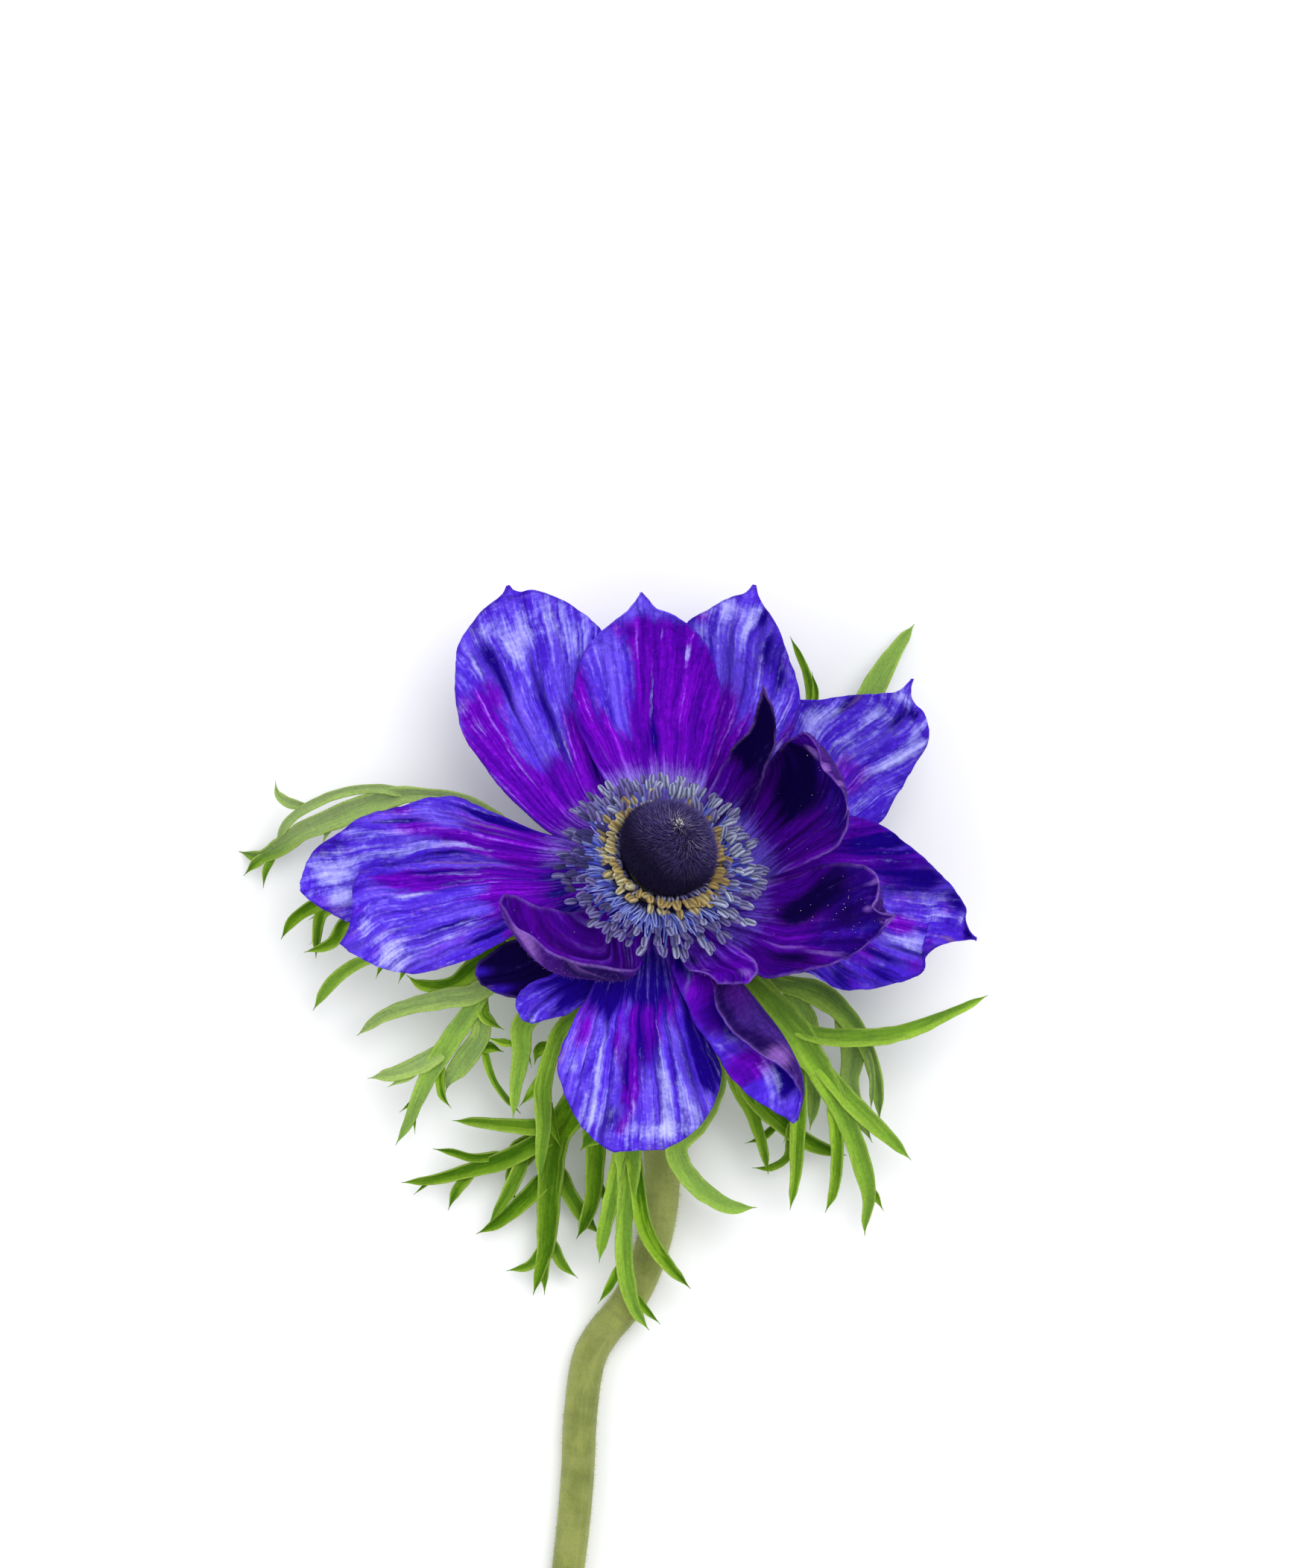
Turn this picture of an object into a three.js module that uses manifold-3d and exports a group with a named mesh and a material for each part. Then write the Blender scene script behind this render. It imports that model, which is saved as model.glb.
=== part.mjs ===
// Anemone flower, cut and lying on a flat surface.
// Millimetres. The surface is z = 0, the stem lies along -Y and the open face is turned up.
// The origin is on the flat underside of the stem, below the head.
import * as THREE from 'three';
import { mergeVertices } from 'three/addons/utils/BufferGeometryUtils.js';
import Module from 'manifold-3d';

const wasm = await Module();
wasm.setup();

// Blades: petals and leaves
const PETAL_THICK = 0.64;
const PETAL_COLS = 7;
const LEAF_THICK = 0.62;
// How deep a leaf lobe's groove is for its width, and how far apart its rows are
const LEAF_CHANNEL = 0.2;
const LOBE_STEP = 7;
// A lobe narrower than this is flat
const NARROW_LOBE = 2.9;

// Stem, from the receptacle under the petals down to a slanted cut
const STEM_SIDES = 12;
const STEM_STEPS = 28;
const RECEPTACLE_RADIUS = 4.5;
const NECK_RADIUS = 2.75;
const CUT_RADIUS = 2.35;
const CUT_SLANT = 0.5;

// Petal bases: claws in the receptacle, then a flat shoulder under the stamens
const CLAW_RADIUS = 5.05;
const CLAW_HALF_ANGLE = 18;
const SHOULDER_RADIUS = 11;
const SHOULDER_RISE = 0.2;
// A petal's middle sinks mostly past its shoulder
const DIP_START = 1.9;

// Dome of carpels
const DOME_RADIUS = 7.4;
const DOME_HEIGHT = 8;
const DOME_BOTTOM = 1.8;

// Stamens: two collars round the dome, with the filaments sunk into them
const OUTER_STAMENS = 58;
const INNER_STAMENS = 24;
const FILAMENT_THICK = 0.6;
const OUTER_COLLAR = { inner: 4.9, outer: 8.5, low: 1, high: 2.05 };
const INNER_COLLAR = { inner: 6.05, outer: 7, low: 2.45, high: 3.25 };
const COLLAR_SIDES = 20;
const OUTER_ROOT = { radius: 8, height: 1.55 };
const INNER_ROOT = { radius: 6.55, height: 2.85 };
const OUTER_ANTHER = { long: 2.2, wide: 1.15 };
const INNER_ANTHER = { long: 1.9, wide: 1 };
const FIRST_REACH = 10.1;
const REACH_SPREAD = 5.1;
const FIRST_RISE = 5.4;
const RISE_FALL = 3.1;
const GOLDEN_ANGLE = 137.508;

// Corners closer than this to a straight line are dropped from the fused pieces
const FUSED_TOLERANCE = 0.12;

// The point of the stem's underside that the origin is moved to
const REST_X = -2.4;
const REST_Y = -55;

// The head: its centre where the petals spring, and the way its face looks
const HEAD = new THREE.Vector3(-2.4, -2.6, 24);
const FACE = new THREE.Vector3(0.186, 0.512, 0.839).normalize();
const ACROSS = new THREE.Vector3(1, 0, 0).addScaledVector(FACE, -FACE.x).normalize();
const UPWARD = new THREE.Vector3().crossVectors(FACE, ACROSS);

// A point near the head from its angle in degrees, its distance from the axis and its height along it
function around(angle, radius, height) {
  const a = THREE.MathUtils.degToRad(angle);
  return HEAD.clone()
    .addScaledVector(ACROSS, Math.cos(a) * radius)
    .addScaledVector(UPWARD, Math.sin(a) * radius)
    .addScaledVector(FACE, height);
}

// Seen from VIEW_HEIGHT above VIEW_CENTRE, the points listed below are places across and up the view,
// in millimetres at the height of the head, each with its own height. This sets each on its line of
// sight.
const VIEW_HEIGHT = 1500;
const VIEW_CENTRE = new THREE.Vector2(-4.1, 10.8);
function point([x, y, z]) {
  const nearer = (VIEW_HEIGHT - z) / (VIEW_HEIGHT - HEAD.z);
  return new THREE.Vector3(
    VIEW_CENTRE.x + (x - VIEW_CENTRE.x) * nearer,
    VIEW_CENTRE.y + (y - VIEW_CENTRE.y) * nearer,
    z,
  );
}

// Seeded draws, so that every build is the same
let seed = 20417;
function draw(low, high) {
  seed = (seed * 1664525 + 1013904223) % 4294967296;
  return low + (high - low) * (seed / 4294967296);
}

function body(position, index) {
  const mesh = new wasm.Mesh({
    numProp: 3,
    vertProperties: new Float32Array(position),
    triVerts: new Uint32Array(index),
  });
  const solid = new wasm.Manifold(mesh);
  if (solid.volume() > 0) return solid;
  const turned = [];
  for (let k = 0; k < index.length; k += 3) turned.push(index[k], index[k + 2], index[k + 1]);
  return new wasm.Manifold(new wasm.Mesh({
    numProp: 3,
    vertProperties: new Float32Array(position),
    triVerts: new Uint32Array(turned),
  }));
}

// A three.js geometry with only its corners left, as a closed body
function bodyOf(geometry) {
  const bare = new THREE.BufferGeometry();
  bare.setAttribute('position', geometry.getAttribute('position'));
  if (geometry.index) bare.setIndex(geometry.index);
  const merged = mergeVertices(bare, 1e-5);
  return body(merged.getAttribute('position').array, merged.index.array);
}

// A thin blade of even thickness from a grid of points on its middle surface.
// Both faces are split into triangles alike, and four rims close it.
function blade(grid, thick) {
  const rows = grid.length;
  const cols = grid[0].length;
  const position = [];
  for (const side of [0.5, -0.5]) {
    for (let i = 0; i < rows; i++) {
      for (let j = 0; j < cols; j++) {
        const alongStart = grid[Math.max(i - 1, 0)][j];
        const alongEnd = grid[Math.min(i + 1, rows - 1)][j];
        const acrossStart = grid[i][Math.max(j - 1, 0)];
        const acrossEnd = grid[i][Math.min(j + 1, cols - 1)];
        const normal = new THREE.Vector3().crossVectors(
          alongEnd.clone().sub(alongStart),
          acrossEnd.clone().sub(acrossStart),
        ).normalize();
        const corner = grid[i][j].clone().addScaledVector(normal, side * thick);
        position.push(corner.x, corner.y, corner.z);
      }
    }
  }
  const index = [];
  const top = (i, j) => i * cols + j;
  const low = (i, j) => rows * cols + i * cols + j;
  const quad = (a, b, c, d) => index.push(a, b, c, a, c, d);
  for (let i = 0; i < rows - 1; i++) {
    for (let j = 0; j < cols - 1; j++) {
      quad(top(i, j), top(i + 1, j), top(i + 1, j + 1), top(i, j + 1));
      index.push(low(i, j), low(i + 1, j + 1), low(i + 1, j));
      index.push(low(i, j), low(i, j + 1), low(i + 1, j + 1));
    }
  }
  for (let i = 0; i < rows - 1; i++) {
    quad(top(i + 1, 0), top(i, 0), low(i, 0), low(i + 1, 0));
    quad(top(i, cols - 1), top(i + 1, cols - 1), low(i + 1, cols - 1), low(i, cols - 1));
  }
  for (let j = 0; j < cols - 1; j++) {
    quad(top(0, j), top(0, j + 1), low(0, j + 1), low(0, j));
    quad(top(rows - 1, j + 1), top(rows - 1, j), low(rows - 1, j), low(rows - 1, j + 1));
  }
  return body(position, index);
}

// Several bodies joined into one, with any crumb that is left over dropped
function fuse(parts) {
  const bodies = wasm.Manifold.union(parts).simplify(FUSED_TOLERANCE).decompose();
  return bodies.reduce((best, one) => (one.volume() > best.volume() ? one : best));
}

// Petals
// Each petal springs from a claw at an angle round the head and a level along its axis. Its two
// edges run from the claw over a flat shoulder under the stamens and then through these points.
// dip is how far the middle sinks below the edges. keel, where given, is the line that the middle
// follows instead, for a petal that is rolled or folded lengthwise.
const PETALS = [
  {
    name: 'petal_01_top_left', angle: 118, level: -3.6, wide: [140, 98], dip: 1.5, rows: 10,
    left: [[-17, 2.8, 18.6], [-22.5, 6.9, 17.8], [-28, 12.9, 17.5], [-31.4, 18.2, 18.3], [-32.6, 24, 19.6],
      [-31.6, 32, 21.3], [-28.6, 36.6, 22.1], [-25.2, 39.8, 22.5]],
    right: [[-7.4, 12, 14.4], [-7.8, 20, 15.2], [-9, 28, 18], [-10.8, 33.8, 20], [-15, 36.9, 21.3],
      [-20.5, 39.3, 22.2], [-24.3, 40.2, 22.5]],
  },
  {
    name: 'petal_02_top_middle', angle: 93, level: -0.7, wide: [116, 70], dip: 2.4, rows: 10,
    left: [[-10.5, 11.5, 17.6], [-13.7, 18, 18.4], [-15.2, 23, 20.2], [-14.6, 27.5, 22.2],
      [-12.5, 31.8, 24], [-9.8, 34.8, 25.2], [-7.2, 36.9, 26], [-5.4, 38.9, 26.3]],
    right: [[4.2, 10, 15.8], [5.6, 15.5, 16.6], [6.3, 20.5, 18.6], [6.5, 24.3, 20.6], [5.6, 28.8, 22.6],
      [3.8, 32.7, 24.4], [0.6, 36, 25.6], [-3, 37.5, 26.1], [-4.6, 39, 26.3]],
  },
  {
    name: 'petal_03_top_right', angle: 66, level: -2.2, wide: [88, 44], dip: 1.2, rows: 10,
    left: [[-2.4, 12, 13], [-1.8, 20, 14.2], [-0.8, 28, 17.2], [2, 35, 19.4], [5, 36.7, 20.4],
      [8, 38.2, 21], [11.4, 40.1, 21.6]],
    right: [[10.5, 8.8, 14], [14.6, 14, 14.8], [17, 17.8, 16], [18.3, 22, 17], [18.2, 26, 18.2],
      [16.8, 30.2, 19.5], [14.4, 35.2, 20.8], [12.3, 39.8, 21.6]],
  },
  {
    name: 'petal_04_inner_upright', angle: 50, level: -0.6, wide: [64, 41], dip: 1.2, rows: 9,
    left: [[6, 11.5, 16.8], [8.8, 16.2, 23], [10.5, 18.2, 27], [11.8, 20.8, 31], [12.5, 23, 35],
      [12.7, 25, 37.6]],
    right: [[10.7, 7.2, 17.6], [12.6, 11, 21], [14, 14, 25], [14.8, 17, 29], [14.9, 19.3, 32],
      [14.4, 21.8, 34.8], [13.5, 24.9, 37.6]],
  },
  {
    name: 'petal_05_inner_right', angle: 9, level: -1, wide: [21, -5], dip: 3.6, rows: 9,
    left: [[10.5, 5.8, 15.9], [12.4, 10, 17], [13.7, 13.2, 19.5], [15, 15.6, 23.5], [17, 17.4, 29],
      [18.9, 18.4, 34]],
    right: [[13, -3.3, 21.2], [16, -2.4, 24.2], [19.5, -0.8, 28.5], [22.5, 0.7, 32], [24.5, 2.5, 34.2],
      [25.6, 6, 36], [25.3, 9, 37], [24, 11, 37.2], [22, 13.2, 37], [21.2, 15.8, 36.2], [19.9, 18, 34.8]],
  },
  {
    name: 'petal_06_right_upper', angle: 33, level: -3.8, wide: [52, 14], dip: 1.4, rows: 9,
    left: [[9, 9, 12.8], [13.4, 17, 11.9], [16.8, 22.8, 12.2], [21, 23.3, 13.2], [27, 24, 15],
      [32.4, 24.5, 17], [35, 26.2, 17.6]],
    right: [[14, -1.2, 16.4], [22, 1.5, 15.6], [29.5, 4.5, 15.5], [33, 9.2, 15.8], [36.5, 15, 16.6],
      [37.7, 17.6, 17], [36.9, 21.3, 17.3], [35.6, 23.8, 17.5], [35.6, 25.6, 17.6]],
  },
  {
    name: 'petal_07_right', angle: -12, level: -2.6, wide: [14, -40], dip: 2, rows: 12,
    left: [[13, 1.2, 16.6], [19, 4.6, 17], [25.8, 6.3, 18.8], [30.2, 5, 19.2], [35, 1.6, 19.4],
      [38.5, -1.5, 19.5], [41.6, -5.2, 19.6], [43.2, -7.8, 19.8], [43.3, -10.4, 20], [44.7, -11.9, 20.2]],
    right: [[10.6, -14, 24.9], [16, -16.2, 25], [20.3, -17.4, 25.2], [24, -19.2, 24.6], [29, -19.5, 23.4],
      [33.5, -18.7, 22.4], [36.6, -17, 21.8], [37.4, -14.2, 21.2], [40.6, -12.6, 20.7], [44.3, -12.6, 20.2]],
  },
  {
    name: 'petal_08_inner_lower_right', angle: -31, level: -1.5, wide: [-14, -46], dip: 3, rows: 9,
    left: [[14, -4.2, 21.3], [17, -3.1, 22.6], [20, -2, 24.6], [23, -1, 27.6], [26, -0.8, 31],
      [28.8, -1.8, 34], [30.3, -4, 36], [30.6, -6.8, 37], [32.5, -8.2, 37.6]],
    right: [[9, -14.6, 28.4], [12.5, -17.6, 30.6], [17.5, -17.3, 32.4], [21, -16.5, 34], [24.5, -15.5, 35.2],
      [27.5, -13.8, 36.2], [30, -11.8, 37], [32.3, -9.3, 37.5]],
  },
  {
    name: 'petal_09_inner_small', angle: -64, level: -0.4, wide: [-48, -80], dip: 1, rows: 6,
    left: [[9, -13.3, 28.8], [11.6, -15.4, 31.2], [12.4, -17, 32.6], [10.8, -18.8, 33.4]],
    right: [[0.9, -14, 30.6], [1.9, -16.4, 32.2], [4.4, -17.2, 33.2], [6.4, -18.9, 33.6]],
  },
  {
    name: 'petal_10_folded', angle: -62, level: -2.5, wide: [-52, -76], dip: 0, rows: 10,
    left: [[5.2, -17, 29.6], [6, -21.5, 32], [7.8, -25.5, 32.8], [12, -28.8, 32.2], [16, -31.6, 30.6],
      [18.6, -35, 28.6], [18.4, -38.8, 27.2]],
    keel: [[8.2, -17.6, 28], [11.5, -21.4, 27.8], [15, -26, 27.6], [17.1, -30, 27.6], [18.3, -33.4, 27.4],
      [18.5, -36.2, 27.1], [18.1, -39.1, 26.8]],
    right: [[0.4, -17.6, 29.8], [1.8, -22, 30.2], [4, -26, 30.2], [6.5, -29.8, 29.8], [9, -33.2, 29],
      [12, -36, 28.2], [15, -38, 27.4], [17.8, -39.5, 26.8]],
  },
  {
    name: 'petal_11_bottom', angle: -98, level: -3.5, wide: [-78, -118], dip: -1.2, rows: 11,
    left: [[0.6, -17, 27.4], [3, -23, 27.4], [5.5, -28, 26.8], [7, -31.5, 26.2], [7, -34, 25.8],
      [5.8, -37, 25.4], [3.5, -40.3, 25], [1, -42.2, 24.8], [-1.6, -43.5, 24.6]],
    right: [[-11, -17, 27.8], [-14.5, -23.5, 27.2], [-16.8, -28, 26.6], [-17.2, -31.4, 26.2],
      [-15.8, -36, 25.6], [-14, -40, 25], [-11.5, -42.5, 24.8], [-8.8, -43.7, 24.6]],
  },
  {
    name: 'petal_12_navy_left', angle: 213, level: -5.6, wide: [230, 199], dip: 1, rows: 8,
    left: [[-14, -16.2, 24.2], [-19, -20.2, 23.2], [-23.5, -20.9, 22.6], [-26.5, -20.1, 21.9],
      [-28.7, -18.8, 21.4]],
    right: [[-18, -9.5, 22.8], [-23, -11.8, 22], [-27, -14, 21.4], [-29.2, -15.7, 21], [-29.6, -17.5, 21]],
  },
  {
    name: 'petal_12b_navy_lower', angle: 240, level: -4.5, wide: [251, 229], dip: 0.8, rows: 8,
    left: [[-10.5, -19, 26], [-15, -22.8, 25], [-18.5, -23.9, 24.6], [-21.2, -24.7, 24.3]],
    right: [[-15.8, -15.8, 26.8], [-20.8, -18.4, 26], [-23.4, -20.6, 25.2], [-23.5, -22.4, 24.8],
      [-22.5, -24.3, 24.4]],
  },
  {
    name: 'petal_13_inner_boat', angle: 234, level: -0.6, wide: [256, 214], dip: 0, rows: 11,
    left: [[-5.4, -16.4, 33.4], [-10, -16.3, 34.8], [-15.5, -15.3, 35.4], [-18.5, -14.1, 35.6],
      [-21, -12, 35.8], [-23.5, -10.4, 36], [-25.2, -7.6, 36]],
    keel: [[-8.6, -16.7, 30.8], [-12, -17.3, 30.4], [-15.6, -17.1, 30], [-18.7, -16.2, 29.8],
      [-21.1, -14.4, 30], [-23.2, -11.8, 30.8], [-25, -8.8, 32.6], [-25.8, -6.6, 34.6]],
    right: [[-15.5, -8.3, 28.4], [-18, -7.8, 29.3], [-21, -6.9, 31], [-23.5, -6, 33], [-25.2, -5.6, 35]],
  },
  {
    name: 'petal_14_left_front', angle: 191, level: -2.1, wide: [211, 172], dip: 1.2, rows: 11,
    left: [[-18, -9.7, 25.8], [-25, -12.2, 24.6], [-31, -15.5, 23.6], [-35, -16.8, 23.2],
      [-39, -17.3, 22.8], [-43, -16.6, 22.4], [-46, -15.3, 22.2], [-48.4, -13.9, 22]],
    right: [[-20, -1.6, 23.6], [-25, -1, 24.4], [-30, -0.5, 25], [-36, -0.8, 25.4], [-42, -1.5, 25],
      [-46, -1.8, 24.2], [-47.5, -3.6, 23.4], [-47.8, -7.4, 22.8], [-48.5, -11, 22.3], [-49.6, -12.9, 22]],
  },
  {
    name: 'petal_15_left_back', angle: 166, level: -3.5, wide: [184, 150], dip: 1.3, rows: 11,
    left: [[-20, -5.5, 22], [-27, -7.5, 20.8], [-34, -9, 20], [-41, -10, 19.5], [-48, -9.8, 19.1],
      [-51.5, -8, 19], [-54.3, -6.1, 18.9], [-55.5, -5, 18.9]],
    right: [[-17, 1.5, 20.6], [-20, 3.5, 21], [-25.5, 6, 21.8], [-31.5, 8.6, 22.2], [-36, 8.7, 22.4],
      [-41.5, 7.4, 22], [-46, 6.2, 21.4], [-50.5, 3, 20.4], [-53.9, 0.2, 19.6], [-55.5, -3.9, 19]],
  },
];

function petal(spec) {
  const half = CLAW_HALF_ANGLE;
  const edge = (angle, wide, points) => [
    around(spec.angle + angle, CLAW_RADIUS, spec.level),
    around(wide, SHOULDER_RADIUS, spec.level + SHOULDER_RISE),
    ...points.map(point),
  ];
  const left = new THREE.CatmullRomCurve3(edge(half, spec.wide[0], spec.left));
  const right = new THREE.CatmullRomCurve3(edge(-half, spec.wide[1], spec.right));
  const middle = (spec.wide[0] + spec.wide[1]) / 2;
  const keel = spec.keel && new THREE.CatmullRomCurve3(edge(0, middle, spec.keel));
  const grid = [];
  for (let i = 0; i < spec.rows; i++) {
    const u = i / (spec.rows - 1);
    const l = left.getPointAt(u);
    const r = right.getPointAt(u);
    const centre = l.clone().lerp(r, 0.5);
    const ahead = left.getTangentAt(u).add(right.getTangentAt(u));
    const normal = new THREE.Vector3().crossVectors(ahead, r.clone().sub(l)).normalize();
    if (normal.dot(FACE) < 0) normal.negate();
    const sink = spec.dip * Math.sin(Math.PI * u ** DIP_START);
    const mid = keel ? keel.getPointAt(u) : centre.clone().addScaledVector(normal, -sink);
    const row = [];
    for (let j = 0; j < PETAL_COLS; j++) {
      const v = j / (PETAL_COLS - 1);
      const p = l.clone().multiplyScalar((1 - v) * (1 - 2 * v));
      p.addScaledVector(mid, 4 * v * (1 - v));
      p.addScaledVector(r, v * (2 * v - 1));
      row.push(p);
    }
    grid.push(row);
  }
  return blade(grid, PETAL_THICK);
}

// Stem, neck and receptacle, as rings along one curve
// Where it lies, its middle is as high as its flat underside asks for.
const NECK_PATH = [[-5.6, -13.2, 8.6], [-5.8, -20, 4.8], [-5, -28, 2.9], [-3, -37, 2.2], [-1.8, -46, 2],
  [-2.6, -55, 2], [-5.1, -62.6, 2], [-7.4, -66.6, 2], [-10.6, -70.5, 2], [-12.7, -74.4, 2],
  [-13.9, -82, 2], [-14.3, -91, 2], [-15, -99, 2], [-16.4, -110, 2], [-18.4, -122, 2], [-21, -135, 2]];
const RECEPTACLE_RINGS = [[1.5, 4.1], [1.1, RECEPTACLE_RADIUS], [-5.6, RECEPTACLE_RADIUS], [-7.4, 3.8],
  [-9.2, 3], [-12, NECK_RADIUS]];

function ringTube(rings) {
  const position = [];
  const index = [];
  rings.forEach(({ centre, along, radius }) => {
    const side = new THREE.Vector3().crossVectors(along, new THREE.Vector3(0, 0, 1)).normalize();
    const up = new THREE.Vector3().crossVectors(side, along);
    for (let k = 0; k < STEM_SIDES; k++) {
      const a = ((k + 0.5) / STEM_SIDES) * Math.PI * 2;
      const p = centre.clone()
        .addScaledVector(side, Math.cos(a) * radius)
        .addScaledVector(up, Math.sin(a) * radius);
      position.push(p.x, p.y, p.z < 0.05 ? 0 : p.z);
    }
  });
  for (let i = 0; i < rings.length - 1; i++) {
    for (let k = 0; k < STEM_SIDES; k++) {
      const a = i * STEM_SIDES + k;
      const b = i * STEM_SIDES + (k + 1) % STEM_SIDES;
      index.push(a, b, b + STEM_SIDES, a, b + STEM_SIDES, a + STEM_SIDES);
    }
  }
  const last = (rings.length - 1) * STEM_SIDES;
  for (let k = 1; k < STEM_SIDES - 1; k++) {
    index.push(0, k + 1, k);
    index.push(last, last + k, last + k + 1);
  }
  return body(position, index);
}

function stem() {
  const down = FACE.clone().negate();
  const rings = RECEPTACLE_RINGS.map(([height, radius]) => (
    { centre: around(0, 0, height), along: down, radius }
  ));
  const start = around(0, 0, -12);
  const curve = new THREE.CatmullRomCurve3([around(0, 0, -10), start, ...NECK_PATH.map(point)]);
  for (let i = 3; i <= STEM_STEPS; i++) {
    const t = i / STEM_STEPS;
    const centre = curve.getPointAt(t);
    const along = curve.getTangentAt(t);
    const radius = THREE.MathUtils.lerp(NECK_RADIUS, CUT_RADIUS, t);
    const lyingHeight = radius * Math.cos(Math.PI / STEM_SIDES);
    if (centre.z < lyingHeight) {
      centre.z = lyingHeight;
      along.setZ(0).normalize();
    }
    rings.push({ centre, along, radius });
  }
  const tube = ringTube(rings);
  // A slanted florist's cut
  const end = point(NECK_PATH.at(-1));
  const normal = new THREE.Vector3(0, 1, -CUT_SLANT).normalize();
  return tube.trimByPlane([normal.x, normal.y, normal.z], normal.dot(end) + 1);
}

// The dome of carpels: a sphere cut flat below
function dome() {
  const ball = new THREE.SphereGeometry(DOME_RADIUS, 18, 12);
  ball.rotateX(Math.PI / 2);
  const frame = new THREE.Matrix4().makeBasis(ACROSS, UPWARD, FACE);
  frame.setPosition(around(0, 0, DOME_HEIGHT));
  ball.applyMatrix4(frame);
  const offset = FACE.dot(around(0, 0, DOME_BOTTOM));
  return bodyOf(ball).trimByPlane([FACE.x, FACE.y, FACE.z], offset);
}

// A ring round the head's axis that the filaments spring from
function collar({ inner, outer, low, high }) {
  const position = [];
  const index = [];
  for (let k = 0; k < COLLAR_SIDES; k++) {
    const angle = (k / COLLAR_SIDES) * 360;
    for (const [radius, height] of [[outer, low], [outer, high], [inner, high], [inner, low]]) {
      const p = around(angle, radius, height);
      position.push(p.x, p.y, p.z);
    }
    const n = ((k + 1) % COLLAR_SIDES) * 4;
    for (let c = 0; c < 4; c++) {
      const a = k * 4 + c;
      const b = k * 4 + (c + 1) % 4;
      const d = n + c;
      const e = n + (c + 1) % 4;
      index.push(a, d, e, a, e, b);
    }
  }
  return body(position, index);
}

// A thread or a tapering bead: rings of a few corners along a row of points, closed at both ends
function bead(points, radii, sides, flat) {
  const position = [];
  const index = [];
  points.forEach((p, i) => {
    const along = points[Math.min(i + 1, points.length - 1)].clone()
      .sub(points[Math.max(i - 1, 0)]).normalize();
    const side = new THREE.Vector3().crossVectors(along, FACE).normalize();
    const up = new THREE.Vector3().crossVectors(side, along);
    for (let k = 0; k < sides; k++) {
      const a = (k / sides) * Math.PI * 2;
      const q = p.clone()
        .addScaledVector(side, Math.cos(a) * radii[i])
        .addScaledVector(up, Math.sin(a) * radii[i] * flat);
      position.push(q.x, q.y, q.z);
    }
  });
  for (let i = 0; i < points.length - 1; i++) {
    for (let k = 0; k < sides; k++) {
      const a = i * sides + k;
      const b = i * sides + (k + 1) % sides;
      index.push(a, b, b + sides, a, b + sides, a + sides);
    }
  }
  const last = (points.length - 1) * sides;
  for (let k = 1; k < sides - 1; k++) {
    index.push(0, k + 1, k);
    index.push(last, last + k, last + k + 1);
  }
  return body(position, index);
}

// One stamen: a filament from the collar that widens into an anther at its end
function stamen(root, bend, tip, { long, wide }) {
  const ahead = tip.clone().sub(bend).normalize();
  const thick = FILAMENT_THICK / 2;
  const at = (share) => tip.clone().addScaledVector(ahead, long * share);
  return bead(
    [root, bend, at(-0.5), at(0), at(0.5)],
    [thick, thick, thick, wide * 0.56, wide * 0.22],
    4,
    0.85,
  );
}

function outerStamens() {
  const parts = [collar(OUTER_COLLAR)];
  for (let k = 0; k < OUTER_STAMENS; k++) {
    const share = (k + 0.5) / OUTER_STAMENS;
    const angle = k * GOLDEN_ANGLE + draw(-5, 5);
    const reach = FIRST_REACH + REACH_SPREAD * share ** 0.85 + draw(-0.5, 0.5);
    const rise = FIRST_RISE - RISE_FALL * share + draw(-0.7, 0.7);
    const root = around(angle, OUTER_ROOT.radius, OUTER_ROOT.height);
    const bendRadius = THREE.MathUtils.lerp(OUTER_ROOT.radius, reach, 0.4);
    const bendHeight = THREE.MathUtils.lerp(OUTER_ROOT.height + 0.15, rise, 0.6);
    const bend = around(angle, bendRadius, bendHeight);
    const tip = around(angle + draw(-4, 4), reach, rise);
    parts.push(stamen(root, bend, tip, OUTER_ANTHER));
  }
  return fuse(parts);
}

function innerStamens() {
  const parts = [collar(INNER_COLLAR)];
  for (let k = 0; k < INNER_STAMENS; k++) {
    const angle = (k / INNER_STAMENS) * 360 + draw(-2.5, 2.5);
    const rise = 6.6 + draw(-0.9, 1);
    const root = around(angle, INNER_ROOT.radius, INNER_ROOT.height);
    const bend = around(angle, 7.95, 4.4);
    const tip = around(angle, 8.75 + draw(0, 0.4), rise);
    parts.push(stamen(root, bend, tip, INNER_ANTHER));
  }
  return fuse(parts);
}

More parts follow.
